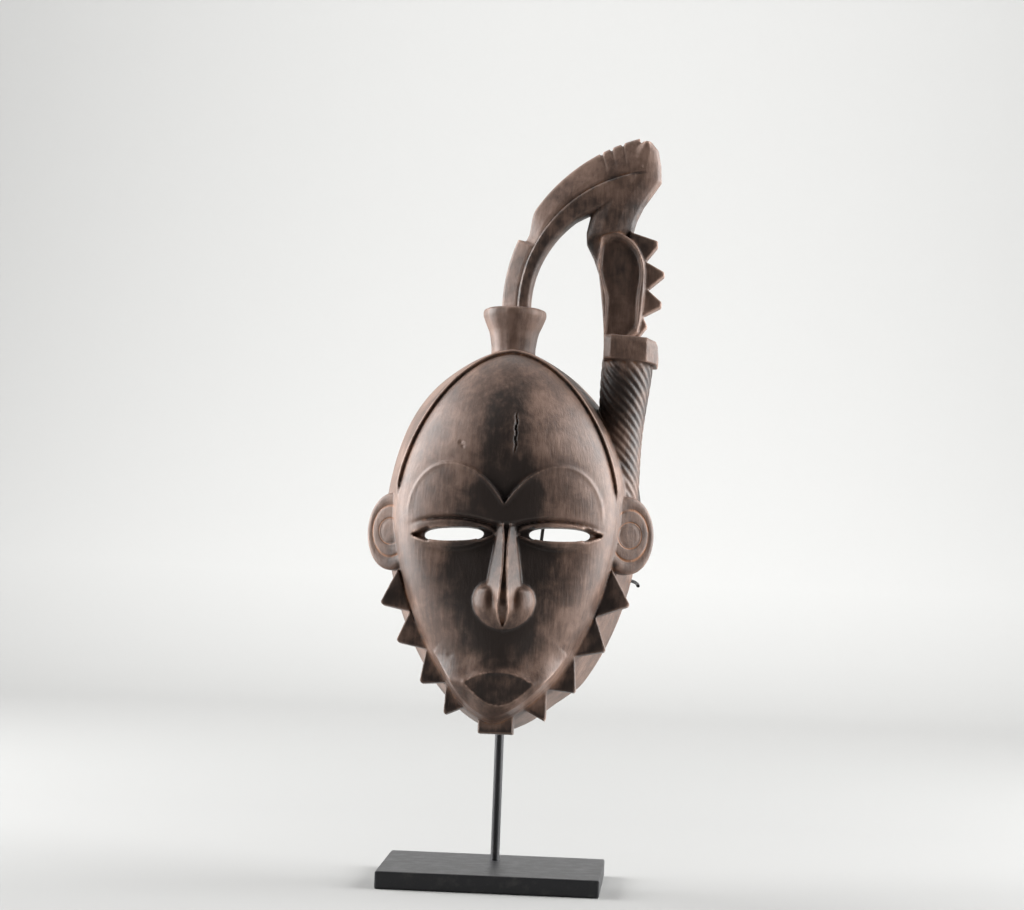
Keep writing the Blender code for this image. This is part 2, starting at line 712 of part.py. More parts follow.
def build_stand(body, group, work_group):
    rod_x = 0.0
    rod_y = MASK_SHIFT_Y + ROD_BACK
    rod_top = EYE_HEIGHT - ROD_TOP_DROP
    bpy.ops.mesh.primitive_cylinder_add(
        vertices=32, radius=ROD_R * MM, depth=(rod_top - BASE_THICK + ROD_SEAT - GAP) * MM,
        location=(rod_x * MM, rod_y * MM, (rod_top + BASE_THICK - ROD_SEAT + GAP) / 2 * MM),
    )
    rod = bpy.context.object
    rod.name = "stand_rod"
    rod.data.name = "stand_rod"
    for owner in list(rod.users_collection):
        owner.objects.unlink(rod)
    group.objects.link(rod)
    tree = BVHTree.FromObject(body, bpy.context.evaluated_depsgraph_get())

    def rest_spot(x, z):
        """How far back the centre of a wire's end stays to clear the hollow's surface."""
        spot, _, _, _ = tree.ray_cast(Vector((x, RIM_DEPTH - REST_REACH, z)) * MM, Vector((0.0, -1.0, 0.0)))
        y = spot.y / MM
        for _ in range(200):
            _, _, _, near = tree.find_nearest(Vector((x, y, z)) * MM)
            if y > spot.y / MM and near / MM >= WIRE_R + 2 * GAP:
                break
            y += 0.1
        return y

    brow_x, brow_z = FORE_REST
    brow_y = rest_spot(brow_x, brow_z)
    fore = [
        (-1.6, 80.5, -66.0), (6.0, 78.0, -62.0), (12.5, 70.0, -52.0), (21.6, 52.0, -8.0),
        (23.6, 46.0, 4.0), (brow_x - 1.5, brow_y + 9.0, brow_z - 10.0), (brow_x, brow_y, brow_z),
    ]
    prop_x, prop_z = PROP_REST
    prop_y = rest_spot(prop_x, prop_z)
    prop = [
        (-1.6, 80.5, -72.0), (-10.0, 78.0, -66.0), (-38.0, 62.0, -44.0),
        (prop_x + 1.0, prop_y + 7.0, prop_z - 1.0), (prop_x, prop_y, prop_z),
    ]
    hook = [
        (-1.6, 81.0, -80.0), (20.0, 84.0, -62.0), (70.0, 80.0, -30.0),
        (84.0, 79.5, -21.5), (89.0, 76.0, -23.5), (90.3, 64.0, -26.5),
    ]
    tools = []
    for name, route in (("fore_wire", fore), ("prop_wire", prop), ("hook_wire", hook)):
        world = [mask_to_world(p) for p in bend(route)]
        world[0] = Vector((rod_x, rod_y, world[0].z))
        tools.append(wire(name, world, WIRE_R, work_group))
    join_body(rod, tools)
    tidy(rod)
    bpy.ops.mesh.primitive_cube_add(size=1.0, location=(0.0, 0.0, BASE_THICK / 2 * MM))
    base = bpy.context.object
    base.name = "stand_base"
    base.data.name = "stand_base"
    base.data.transform(Matrix.Diagonal((BASE_WIDTH * MM, BASE_DEPTH * MM, BASE_THICK * MM, 1.0)))
    for owner in list(base.users_collection):
        owner.objects.unlink(base)
    group.objects.link(base)
    edge = base.modifiers.new("edge", "BEVEL")
    edge.width = BASE_BEVEL * MM
    edge.segments = 2
    bpy.ops.mesh.primitive_cylinder_add(
        vertices=32, radius=(ROD_R + GAP) * MM, depth=(ROD_SEAT + 4.0) * MM,
        location=(rod_x * MM, rod_y * MM, (BASE_THICK - ROD_SEAT + (ROD_SEAT + 4.0) / 2) * MM),
    )
    drill = bpy.context.object
    drill.name = "rod_drill"
    for owner in list(drill.users_collection):
        owner.objects.unlink(drill)
    work_group.objects.link(drill)
    join_body(base, [drill], "DIFFERENCE")
    tidy(base)
    return rod, base


def main():
    clear_scene()
    group = make_collection("yaure_mask")
    work_group = make_collection("cutters", hidden=True)
    wood = material("dark_patinated_wood", (0.085, 0.058, 0.045), 0.55, 0.0)
    steel = material("black_steel", (0.02, 0.02, 0.022), 0.45, 0.6)
    body = build_shell(group)
    cut_eyes(body, work_group)
    tools = [ear(0, work_group), ear(1, work_group), column(work_group), cup(work_group)]
    trim_to_wall(tools, work_group)
    tools = tools + [nose(work_group), mouth(work_group), brow(-1, work_group), brow(1, work_group)]
    tools = tools + beard(work_group) + crest(work_group) + [collar(work_group)]
    join_body(body, tools)
    join_body(body, [wing_field(work_group)], "DIFFERENCE")
    tidy(body)
    rod, base = build_stand(body, group, work_group)
    body.location = Vector((MASK_SHIFT_X, MASK_SHIFT_Y, EYE_HEIGHT)) * MM
    body.rotation_euler = (-radians(RECLINE), 0.0, 0.0)
    for obj, mat in ((body, wood), (rod, steel), (base, steel)):
        obj.data.materials.clear()
        obj.data.materials.append(mat)
        print(obj.name, len(obj.data.polygons), "faces")


main()
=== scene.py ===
from math import cos, pi, radians, sin, sqrt, tan

import bmesh
import bpy
import numpy as np
from mathutils import Matrix, Vector


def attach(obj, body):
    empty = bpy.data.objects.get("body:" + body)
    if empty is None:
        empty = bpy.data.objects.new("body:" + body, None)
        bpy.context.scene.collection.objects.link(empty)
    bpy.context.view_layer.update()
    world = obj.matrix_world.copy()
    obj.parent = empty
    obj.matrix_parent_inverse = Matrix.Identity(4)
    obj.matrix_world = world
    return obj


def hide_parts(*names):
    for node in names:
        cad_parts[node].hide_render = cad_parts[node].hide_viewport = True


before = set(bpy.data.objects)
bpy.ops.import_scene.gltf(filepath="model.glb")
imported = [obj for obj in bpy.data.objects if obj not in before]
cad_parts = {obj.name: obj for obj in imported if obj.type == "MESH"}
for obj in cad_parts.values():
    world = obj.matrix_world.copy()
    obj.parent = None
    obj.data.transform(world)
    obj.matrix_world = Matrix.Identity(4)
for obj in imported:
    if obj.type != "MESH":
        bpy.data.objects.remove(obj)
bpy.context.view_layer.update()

# Millimetres in the mask's own frame: x to the viewer's right, y backwards, z up, origin at eye height.
placing = {
    "recline": 6.5,
    "origin": (1.6, -36.0, 239.0),
}


def maskMatrix():
    turn = Matrix.Rotation(-radians(placing["recline"]), 4, "X")
    return Matrix.Translation(Vector(placing["origin"]) * 0.001) @ turn @ Matrix.Scale(0.001, 4)


def smooth(low, high, value):
    t = np.clip((value - low) / (high - low), 0.0, 1.0)
    return t * t * (3.0 - 2.0 * t)


def bump(centre, width, value):
    return np.exp(-(((value - centre) / width) ** 2))


# A closed body through rings of equal point count.
def loftBody(rings):
    count = len(rings[0])
    verts = np.concatenate([np.asarray(ring, dtype=float) for ring in rings])
    faces = []
    for k in range(len(rings) - 1):
        for j in range(count):
            a = k * count + j
            b = k * count + (j + 1) % count
            faces.append((a, b, b + count, a + count))
    faces.append(tuple(range(count - 1, -1, -1)))
    last = (len(rings) - 1) * count
    faces.append(tuple(range(last, last + count)))
    return verts, faces


def addObject(name, data):
    item = bpy.data.objects.new(name, data)
    bpy.context.scene.collection.objects.link(item)
    return item


def makeObject(name, verts, faces):
    mesh = bpy.data.meshes.new(name)
    mesh.from_pydata([tuple(v) for v in verts], [], faces)
    work = bmesh.new()
    work.from_mesh(mesh)
    bmesh.ops.recalc_face_normals(work, faces=work.faces)
    work.to_mesh(mesh)
    work.free()
    return addObject(name, mesh)


def evaluatedMesh(item):
    bpy.context.view_layer.update()
    shape = item.evaluated_get(bpy.context.evaluated_depsgraph_get())
    return bpy.data.meshes.new_from_object(shape)


def readPoints(mesh, key):
    values = np.empty(len(mesh.vertices) * 3)
    mesh.vertices.foreach_get(key, values)
    return values.reshape(-1, 3)


# The face shell
faceShape = {
    "centre": (0.8, 15.0),
    "halfWidth": 73.5,
    "top": 107.0,
    "bottom": 141.0,
    "chinShift": 4.0,
    "powerTop": 1.75,
    "powerBottom": 1.63,
    "bandWidth": 3.6,
    "bandLeast": 0.35,
    "edgeProfile": (
        (0.0, -1.3, -1.5), (0.4, -0.1, -1.2), (0.9, 0.5, -0.8), (1.4, -0.6, -0.4), (1.8, -1.6, 0.0),
        (2.7, -1.7, 0.9), (3.4, -0.9, 1.6),
    ),
    "rimCentre": (2.6, 20.0),
    "rimHalfWidth": 88.0,
    "rimTop": 110.0,
    "rimBottom": 150.0,
    "rimPowerTop": 1.85,
    "rimPowerBottom": 1.82,
    "rimTopShift": 4.5,
    "rimLowTrim": 6.5,
    "rimDepth": 64.0,
    "rimSlope": -0.09,
    "wall": 9.5,
    "wallFront": 2.0,
    "wallFlare": 0.75,
    "domeHeight": 31.0,
    "domePower": 2.3,
    "cheekPower": 0.4,
    "domeRound": 0.62,
    "foreheadSwell": 6.0,
    "swellZ": 68.0,
    "swellSize": (48.0, 34.0),
    "spokes": 560,
    "rings": 120,
    "ringShares": (0.012, 0.985),
}
crackShape = {
    "x": 6.6,
    "wander": 0.35,
    "half": 0.7,
    "depth": 2.4,
    "lowEnd": (49.0, 56.0),
    "highEnd": (74.0, 82.0),
    "dents": ((-30.0, 57.8, 1.6), (-32.0, -84.0, 1.5), (44.0, 93.5, 1.3), (-28.5, 55.0, 1.0)),
    "dentDepth": 0.9,
}


def oval(t, cx, cz, half, top, bottom, powerTop, powerBottom):
    upper = np.sin(t) >= 0
    power = np.where(upper, powerTop, powerBottom)
    tall = np.where(upper, top, bottom)
    c = np.abs(np.cos(t)) ** (2.0 / power)
    s = np.abs(np.sin(t)) ** (2.0 / power)
    return cx + half * c * np.sign(np.cos(t)), cz + tall * s * np.sign(np.sin(t))


def chinOffset(z):
    return faceShape["chinShift"] * smooth(92.0, 128.0, -z)


def facePoint(t, grow=0.0):
    f = faceShape
    x, z = oval(t, *f["centre"], f["halfWidth"] + grow, f["top"] + grow, f["bottom"] + grow,
                f["powerTop"], f["powerBottom"])
    return x - chinOffset(z), z


def rimPoint(t):
    f = faceShape
    x, z = oval(t, *f["rimCentre"], f["rimHalfWidth"], f["rimTop"], f["rimBottom"],
                f["rimPowerTop"], f["rimPowerBottom"])
    x = x - f["rimTopShift"] * smooth(40.0, 110.0, z)
    return x - f["rimLowTrim"] * smooth(94.0, 114.0, -z) * smooth(-10.0, 20.0, x), z


def faceLevel(x, z):
    f = faceShape
    cx, cz = f["centre"]
    side = np.abs(x + chinOffset(z) - cx) / f["halfWidth"]
    up = ((np.abs(z - cz) / f["top"]) ** f["powerTop"] + side ** f["powerTop"]) ** (1 / f["powerTop"])
    low = (np.abs(z - cz) / f["bottom"]) ** f["powerBottom"] + side ** f["powerBottom"]
    return np.where(z > cz, up, low ** (1 / f["powerBottom"]))


def domeHeight(x, z):
    f = faceShape
    level = np.clip(faceLevel(x, z), 0.0, 1.0)
    power = f["domePower"] + f["cheekPower"] * smooth(0.0, 40.0, -z)
    high = f["domeHeight"] * (1.0 - level ** power) ** f["domeRound"]
    wide, tall = f["swellSize"]
    swell = np.exp(-(((x - f["centre"][0]) / wide) ** 2) - ((z - f["swellZ"]) / tall) ** 2)
    return high + f["foreheadSwell"] * swell * (1.0 - level ** 6)


# The carved features of the face
browShape = {
    "x": 0.8,
    "vZ": 17.6,
    "peakX": 38.7,
    "peakRise": 27.0,
    "out": 27.3,
    "drop": 33.5,
    "ridge": 0.8,
    "step": 0.8,
    "pit": 3.4,
    "creaseZ": 9.4,
    "creaseX": 36.0,
    "creaseHalf": 29.0,
    "creaseDrop": 4.6,
    "creaseLowZ": 5.0,
    "recess": 6.5,
    "undercut": 0.9,
    "arcPower": 2.1,
    "live": (7.0, 16.0),
    "centreHalf": 15.0,
    "fade": 5.0,
    "ridgeHalf": 1.3,
}
eyeShape = {
    "centres": ((-32.8, -3.0), (37.8, -1.0)),
    "halfLength": 20.2,
    "halfHeight": 4.8,
    "cornerReach": 29.5,
    "lidHalf": 30.0,
    "lidHeight": 4.6,
    "lidDrop": 9.6,
    "slant": 0.03,
    "notchTall": 4.2,
    "notchDepth": 6.5,
    "cutPowers": (0.74, 0.82),
    "cutTop": 0.95,
    "cutReach": (-60.0, 20.0),
}
noseShape = {
    "x": 2.9,
    "rootZ": 6.5,
    "tipZ": -50.0,
    "lobeTopZ": -35.0,
    "lobeZ": -46.5,
    "endZ": -66.4,
    "rootRise": 5.4,
    "tipRise": 15.0,
    "rootHalf": 5.2,
    "tipHalf": 11.4,
    "lobeHalf": 20.7,
    "groove": 3.6,
    "grooveDown": (-4.0, 9.0, 24.0, 41.0, 53.0, 60.0, 64.5),
    "grooveHalf": (2.0, 0.8, 0.8, 2.0, 3.6, 2.2, 0.2),
    "planeDown": (-6.5, 36.0, 48.0, 62.0),
    "planeHalf": (6.0, 11.2, 6.6, 3.8),
    "lobePower": 1.9,
    "lobeRise": 9.5,
    "valley": 2.6,
    "valleyOff": 7.6,
    "planeFoot": 0.30,
    "blend": 0.7,
}
mouthShape = {
    "x": 1.4,
    "topZ": -94.9,
    "cornerZ": -101.7,
    "tipZ": -116.2,
    "half": 22.4,
    "front": 23.7,
    "lean": 0.17,
    "fall": 5.2,
    "chinFall": 11.0,
    "inset": 0.7,
    "lipEdge": 0.35,
}


# Height of the brow arc over a place beside the middle of the face.
def arcHeight(off):
    b = browShape
    inner = b["vZ"] + b["peakRise"] * (1.0 - np.clip(1.0 - off / b["peakX"], 0.0, 1.0) ** b["arcPower"])
    far = np.clip((off - b["peakX"]) / b["out"], 0.0, 1.0)
    outer = b["vZ"] + b["peakRise"] - b["drop"] * (1.0 - np.sqrt(1.0 - far ** 2))
    return np.where(off < b["peakX"], inner, outer)


# Distance to the nearer brow arc, positive above it and negative in the brow field.
def arcDistance(x, z):
    b = browShape
    off = np.abs(x - b["x"])
    marks = np.linspace(0.0, 1.0, 160)
    px = np.concatenate([b["peakX"] * marks, b["peakX"] + b["out"] * np.sin(marks * pi / 2)])
    pz = arcHeight(px)
    near = np.full(off.shape, 1e9)
    for ax, az in zip(px, pz):
        near = np.minimum(near, (off - ax) ** 2 + (z - az) ** 2)
    above = (z > arcHeight(off)) | (off > b["peakX"] + b["out"])
    return np.sqrt(near) * np.where(above, 1.0, -1.0)


def creaseHeight(x):
    b = browShape
    off = (np.abs(x - b["x"]) - b["creaseX"]) / b["creaseHalf"]
    return np.maximum(b["creaseZ"] - b["creaseDrop"] * off ** 2, b["creaseLowZ"])


def addBrows(high, x, z):
    b = browShape
    far = arcDistance(x, z)
    off = np.abs(x - b["x"])
    live = smooth(*b["live"], z)
    centre = bump(0.0, b["centreHalf"], off)
    step = (b["step"] + b["pit"] * centre) * smooth(-0.6, 0.9, far)
    reach = b["fade"] + b["fade"] * centre
    high = high - step * np.exp(-np.maximum(far, 0.0) / reach) * live
    return high + b["ridge"] * bump(-0.7, b["ridgeHalf"], far) * live * (0.65 + 0.35 * centre)


def addEyes(high, x, z):
    b, e = browShape, eyeShape
    crease = creaseHeight(x)
    side = 1.0 - 0.96 * smooth(0.42, 0.93, faceLevel(x, z))
    middle = 1.0 - 0.7 * bump(0.0, 7.0, np.abs(x - b["x"]))
    cut = 1.0 - smooth(crease - 3.2, crease + 1.2, z)
    high = high - b["recess"] * cut * smooth(-75.0, -5.0, z) * side
    high = high - b["undercut"] * bump(crease - 2.0, 1.1, z) * side * middle
    for cx, cz in e["centres"]:
        dx = (x - cx) / e["lidHalf"]
        arch = np.clip(1.0 - dx ** 2, 0.0, 1.0)
        low = cz + e["slant"] * (x - cx) - e["lidDrop"] * arch
        lid = smooth(low - 2.4, low + 1.6, z) * (1.0 - smooth(crease - 3.4, crease - 2.0, z))
        bulge = (0.55 + 0.45 * np.sqrt(arch)) * (0.25 + 0.75 * side)
        high = high + e["lidHeight"] * lid * bulge * (1.0 - smooth(0.80, 1.06, np.abs(dx)))
        reach = np.abs(x - cx)
        share = np.clip((e["cornerReach"] - reach) / (e["cornerReach"] - e["halfLength"] + 1.5), 0.0, 1.0)
        tall = e["notchTall"] * share + 0.05
        notch = 1.0 - smooth(0.72, 1.12, np.abs(z - cz - e["slant"] * (x - cx)) / tall)
        high = high - e["notchDepth"] * notch * smooth(0.0, 0.35, share) * (reach > e["halfLength"] - 4.0)
    return high


def noseHalf(z):
    n = noseShape
    down = np.clip((n["rootZ"] - z) / (n["rootZ"] - n["lobeTopZ"]), 0.0, 1.0)
    half = n["rootHalf"] + (n["tipHalf"] - n["rootHalf"]) * down
    upper = np.clip((z - n["lobeZ"]) / (n["lobeTopZ"] - n["lobeZ"]), 0.0, 1.0)
    lower = np.clip((n["lobeZ"] - z) / (n["lobeZ"] - n["endZ"]), 0.0, 1.0)
    power = n["lobePower"]
    spread = half + (n["lobeHalf"] - half) * (1.0 - upper ** power) ** (1 / power)
    foot = n["lobeHalf"] * (1.0 - lower ** power) ** (1 / power)
    return np.where(z > n["lobeTopZ"], half, np.where(z > n["lobeZ"], spread, foot))


def addNose(high, x, z):
    n = noseShape
    half = np.maximum(noseHalf(z), 0.4)
    off = np.abs(x - n["x"])
    down = np.clip((n["rootZ"] - z) / (n["rootZ"] - n["tipZ"]), 0.0, 1.0)
    tail = smooth(50.0, 67.0, -z)
    rise = (n["rootRise"] + (n["tipRise"] - n["rootRise"]) * down) * (1.0 - 0.88 * tail)
    lobe = smooth(33.0, 41.0, -z)
    opening = np.interp(-z, n["grooveDown"], n["grooveHalf"])
    plane = np.minimum(np.interp(-z, n["planeDown"], n["planeHalf"]), half)
    slope = np.clip((plane - off) / np.maximum(plane - opening, 0.5), 0.0, 1.0)
    tent = rise * (n["planeFoot"] + (1.0 - n["planeFoot"]) * slope ** 0.92)
    tent = tent * (1.0 - smooth(plane - 0.4, plane + 0.8, off))
    share = np.clip(off / half, 0.0, 1.0)
    pad = n["lobeRise"] * (1.0 - 0.82 * tail) * (1.0 - share ** 2.4) ** 0.55 * lobe
    pad = pad - n["valley"] * bump(n["valleyOff"], 2.6, off) * bump(-46.0, 8.5, z) * lobe
    blend = np.exp(np.clip((tent - pad) / n["blend"], -30.0, 30.0))
    body = (pad + n["blend"] * np.log1p(blend)) * (1.0 - smooth(half - 0.3, half + 0.6, off))
    inside = 1.0 - smooth(opening - 0.6, opening + 0.4, off)
    start = 1.0 - smooth(4.0, 6.4, z)
    body = body - n["groove"] * inside * start * (1.0 - smooth(62.5, 65.0, -z))
    live = (1.0 - smooth(creaseHeight(x) - 1.6, creaseHeight(x) + 0.2, z)) * smooth(-68.5, -65.0, z)
    return high + body * live


def mouthLevel(x, z):
    m = mouthShape
    u = np.abs(x - m["x"]) / m["half"]
    dz = z - m["cornerZ"]
    tall = np.where(dz > 0, dz / (m["topZ"] - m["cornerZ"]), dz / (m["tipZ"] - m["cornerZ"]))
    soft = 0.02 + 0.7 * smooth(0.85, 1.5, u)
    return np.sqrt(tall ** 2 + soft ** 2) - soft + u ** (1.85 + 0.45 * smooth(-2.0, 6.0, dz) * (u < 1.0))


def addMouth(high, x, z):
    m = mouthShape
    level = mouthLevel(x, z)
    front = m["front"] + m["lean"] * (z - m["cornerZ"])
    fall = m["fall"] + m["chinFall"] * smooth(100.0, 113.0, -z)
    snout = front - fall * np.maximum(level - 1.0, 0.0)
    soft = 1.6 + 2.4 * smooth(1.1, 2.4, level)
    mix = np.exp(np.clip((high - snout) / soft, -40.0, 14.0))
    high = np.where(level < 6.0, snout + soft * np.log1p(mix), high)
    inside = 1.0 - smooth(0.90, 1.02, level)
    return high - m["inset"] * inside + m["lipEdge"] * bump(1.06, 0.05, level)


def reliefHeight(x, z):
    high = domeHeight(x, z)
    high = addBrows(high, x, z)
    high = addEyes(high, x, z)
    high = addNose(high, x, z)
    high = addMouth(high, x, z)
    c = crackShape
    crack = bump(c["x"] + c["wander"] * np.sin(z * 0.8), c["half"], x)
    high = high - c["depth"] * (crack * smooth(*c["lowEnd"], z) * (1.0 - smooth(*c["highEnd"], z)))
    for cx, cz, size in c["dents"]:
        high = high - c["dentDepth"] * np.exp(-((x - cx) / size) ** 2 - ((z - cz) / (size * 0.8)) ** 2)
    return high


# How much of the raised band there is: all round the crown, and none below the top of the ears.
def bandShare(t):
    return smooth(0.06, 0.24, np.sin(t))


def bandGrowth(t):
    least = faceShape["bandLeast"]
    return least + (1.0 - least) * bandShare(t)


def wallPoint(t, w, inset=0.0):
    f = faceShape
    bx, bz = facePoint(t, f["bandWidth"] * bandGrowth(t))
    rx, rz = rimPoint(t)
    blend = w ** f["wallFlare"]
    x = bx + (rx - bx) * blend
    z = bz + (rz - bz) * blend
    y = f["wallFront"] + (f["rimDepth"] + f["rimSlope"] * z - f["wallFront"]) * w
    if inset:
        cx, cz = f["centre"]
        d = np.sqrt((x - cx) ** 2 + (z - cz) ** 2)
        x = cx + (x - cx) * (1.0 - inset / d)
        z = cz + (z - cz) * (1.0 - inset / d)
    return np.stack([x, y, z], 1)


def shellBody():
    f = faceShape
    t = 2.0 * pi * (np.arange(f["spokes"]) + 0.5) / f["spokes"]
    cx, cz = f["centre"]
    ox, oz = facePoint(t)
    first, last = f["ringShares"]
    rings = []
    for k in range(f["rings"]):
        s = first + (last - first) * k / (f["rings"] - 1)
        x, z = cx + (ox - cx) * s, cz + (oz - cz) * s
        rings.append(np.stack([x, -reliefHeight(x, z), z], 1))
    upper = bandShare(t)
    for grow, raised, plain in f["edgeProfile"]:
        x, z = facePoint(t, grow * bandGrowth(t))
        rings.append(np.stack([x, raised * upper + plain * (1.0 - upper), z], 1))
    for w in np.linspace(0.0, 1.0, 40):
        rings.append(wallPoint(t, w))
    rings.append(wallPoint(t, 1.0, 1.0) + np.array([0.0, 0.8, 0.0]))
    rings.append(wallPoint(t, 1.0, f["wall"] - 1.2) + np.array([0.0, 0.8, 0.0]))
    for w in np.linspace(1.0, 0.18, 24):
        rings.append(wallPoint(t, w, f["wall"]))
    for s in np.linspace(0.83, 0.02, 44):
        x, z = cx + (ox - cx) * s, cz + (oz - cz) * s
        inner = domeHeight(x, z) - 4.5 * smooth(-66.0, -10.0, z) * (1.0 - smooth(8.0, 46.0, z))
        rings.append(np.stack([x, -inner + f["wall"], z], 1))
    return loftBody(rings)


def eyeCutter(k):
    e = eyeShape
    cx, cz = e["centres"][k]
    t = 2.0 * pi * (np.arange(64) + 0.5) / 64
    c = np.sign(np.cos(t)) * np.abs(np.cos(t)) ** e["cutPowers"][0]
    s = np.sign(np.sin(t)) * np.abs(np.sin(t)) ** e["cutPowers"][1]
    x = cx + e["halfLength"] * c
    z = cz + e["slant"] * (x - cx) + e["halfHeight"] * s * np.where(s > 0, e["cutTop"], 1.0)
    return loftBody([np.stack([x, np.full_like(x, y), z], 1) for y in e["cutReach"]])


# Ear discs
earShape = {
    "centres": ((-78.0, 0.0), (84.2, 3.0)),
    "y": 10.0,
    "halfWidth": 18.8,
    "halfHeight": 26.3,
    "thick": 11.0,
    "turn": 27.0,
    "groove": 0.7,
    "rings": (0.80, 0.47),
    "lines": ((12.3, 17.2), (7.9, 8.9)),
    "lineWidth": 0.065,
    "bossHalf": (15.75, 17.55),
    "spokes": 160,
}


def earBody(k):
    e = earShape
    cx, cz = e["centres"][k]
    turn = radians(e["turn"]) * (-1 if cx < 0 else 1)
    t = 2.0 * pi * np.arange(e["spokes"]) / e["spokes"]
    rings = []
    steps = [(1.0, e["thick"]), (1.0, e["thick"] * 0.6), (1.0, 1.6), (0.985, 0.7), (0.955, 0.2), (0.93, 0.0)]
    for share in np.linspace(0.91, 0.03, 44):
        steps.append((share, 0.0))
    for share, depth in steps:
        boss = np.clip((share - 0.5) / 0.5, 0.0, 1.0)
        a = share * (e["bossHalf"][0] * (1.0 - boss) + e["halfWidth"] * boss)
        b = share * (e["bossHalf"][1] * (1.0 - boss) + e["halfHeight"] * boss)
        if depth <= 0.0:
            depth = e["groove"] * (bump(e["rings"][0], 0.03, share) + bump(e["rings"][1], 0.04, share))
        u = a * np.cos(t)
        x = cx + u * cos(turn) - depth * sin(turn)
        y = e["y"] + u * sin(turn) + depth * cos(turn)
        rings.append(np.stack([x, y, cz + b * np.sin(t)], 1))
    return loftBody(rings)


# Beard fringe
beardShape = {
    "front": 4.5,
    "thick": 15.0,
    "leftRoots": ((-71.2, -26.0), (-61.6, -54.0), (-49.4, -79.0), (-34.9, -100.8), (-22.0, -116.6)),
    "leftTips": ((-81.8, -49.5), (-69.8, -74.5), (-52.9, -101.5), (-36.0, -121.8)),
    "rightRoots": ((73.5, -21.0), (63.6, -53.0), (50.4, -80.1), (32.8, -102.8), (17.8, -117.0)),
    "rightTips": ((85.8, -44.5), (70.9, -75.6), (52.0, -103.8), (32.6, -123.6)),
    "blockX": -0.7,
    "blockHalf": 11.8,
    "blockTop": -117.0,
    "blockBottom": -134.0,
}


# A flat board with a soft front and back edge, cut to an outline in x and z.
def boardBody(outline, front, thick, soft=0.7):
    line = np.array(outline)
    mid = line.mean(0)
    rings = []
    for share, y in ((soft, front), (soft * 0.35, front + soft * 0.3), (0.0, front + soft),
                     (0.0, front + thick - soft), (soft, front + thick)):
        d = np.linalg.norm(line - mid, axis=1, keepdims=True)
        ring = mid + (line - mid) * (1.0 - share / d)
        rings.append(np.stack([ring[:, 0], np.full(len(ring), y), ring[:, 1]], 1))
    return loftBody(rings)


def beardBodies():
    b = beardShape
    bodies = []
    for side, roots, tips in ((-1, b["leftRoots"], b["leftTips"]), (1, b["rightRoots"], b["rightTips"])):
        for k, (x, z) in enumerate(tips):
            outline = [roots[k], (x, z + 1.2), (x - side, z - 0.6), roots[k + 1]]
            bodies.append(boardBody(outline, b["front"], b["thick"], 0.45))
    left, right = b["blockX"] - b["blockHalf"], b["blockX"] + b["blockHalf"]
    top, bottom = b["blockTop"], b["blockBottom"]
    outline = [(left, top), (left, bottom), (right, bottom), (right, top)]
    bodies.append(boardBody(outline, b["front"] - 0.3, b["thick"] + 3.0, 0.8))
    return bodies


# Crown cup
cupShape = {
    "x": -0.7,
    "y": 28.0,
    "baseZ": 118.0,
    "topZ": 156.2,
    "baseR": 14.9,
    "lipR": 21.4,
    "facet": 0.03,
}


def cupBody():
    c = cupShape
    z0, z1, r0, r1 = c["baseZ"], c["topZ"], c["baseR"], c["lipR"]
    profile = (
        (r0 + 0.3, z0), (r0, z0 + 7.0), (r0, z0 + 12.0), (r0 + 1.1, z1 - 18.7), (r0 + 2.0, z1 - 15.0),
        (r0 + 3.5, z1 - 11.7), (r0 + 4.8, z1 - 8.6), (r1 - 0.7, z1 - 5.9), (r1 - 0.1, z1 - 4.2),
        (r1, z1 - 2.6), (r1 - 0.2, z1 - 0.8), (r1 - 1.0, z1 + 0.3), (r1 - 3.0, z1 + 0.7),
        (r1 - 8.0, z1 + 0.5),
    )
    t = 2.0 * pi * np.arange(120) / 120
    facet = 1.0 + c["facet"] * (np.abs(np.cos(4.0 * t)) - 0.6)
    return loftBody([
        np.stack([c["x"] + r * facet * np.cos(t), c["y"] + r * facet * np.sin(t), np.full_like(t, z)], 1)
        for r, z in profile
    ])


# Crest: casque and beak with the crease between, neck, wing leaf, comb and collar
crestShape = {
    "y": 30.0,
    "inner": (86.0, 160.0, 76.0),
    "crease": (98.5, 159.0, 97.0),
    "outer": (116.1, 158.7, 126.0),
    "beakHalf": 10.5,
    "edgeHalf": 3.9,
    "innerTurn": (-0.06, 1.20),
    "creaseTurn": (-0.05, 1.47),
    "outerTurn": (-0.05, 1.34),
    "notch": 5.6,
    "scallop": 1.9,
    "scallopTurns": (1.04, 1.235, 0.062),
    "lap": 5.0,
    "wingHalf": 10.3,
    "wingFloor": 2.9,
    "neckHalf": 10.0,
    "lineHalf": 0.0013,
}


def arcPoint(circle, turn):
    cx, cz, r = circle
    return np.array([cx - r * np.cos(turn), cz + r * np.sin(turn)])


# The point at a share of the way along one of the crest's three circles.
def crestPoint(name, u):
    start, sweep = crestShape[name + "Turn"]
    return arcPoint(crestShape[name], start + sweep * u)


# A ring round a section given as (share of the way across, half thickness) pairs.
def sectionRing(start, across, section, half):
    walk = [(m, -h) for m, h in section] + list(reversed(section))
    y = crestShape["y"]
    return [(start[0] + across[0] * m, y + h * half, start[1] + across[1] * m) for m, h in walk]


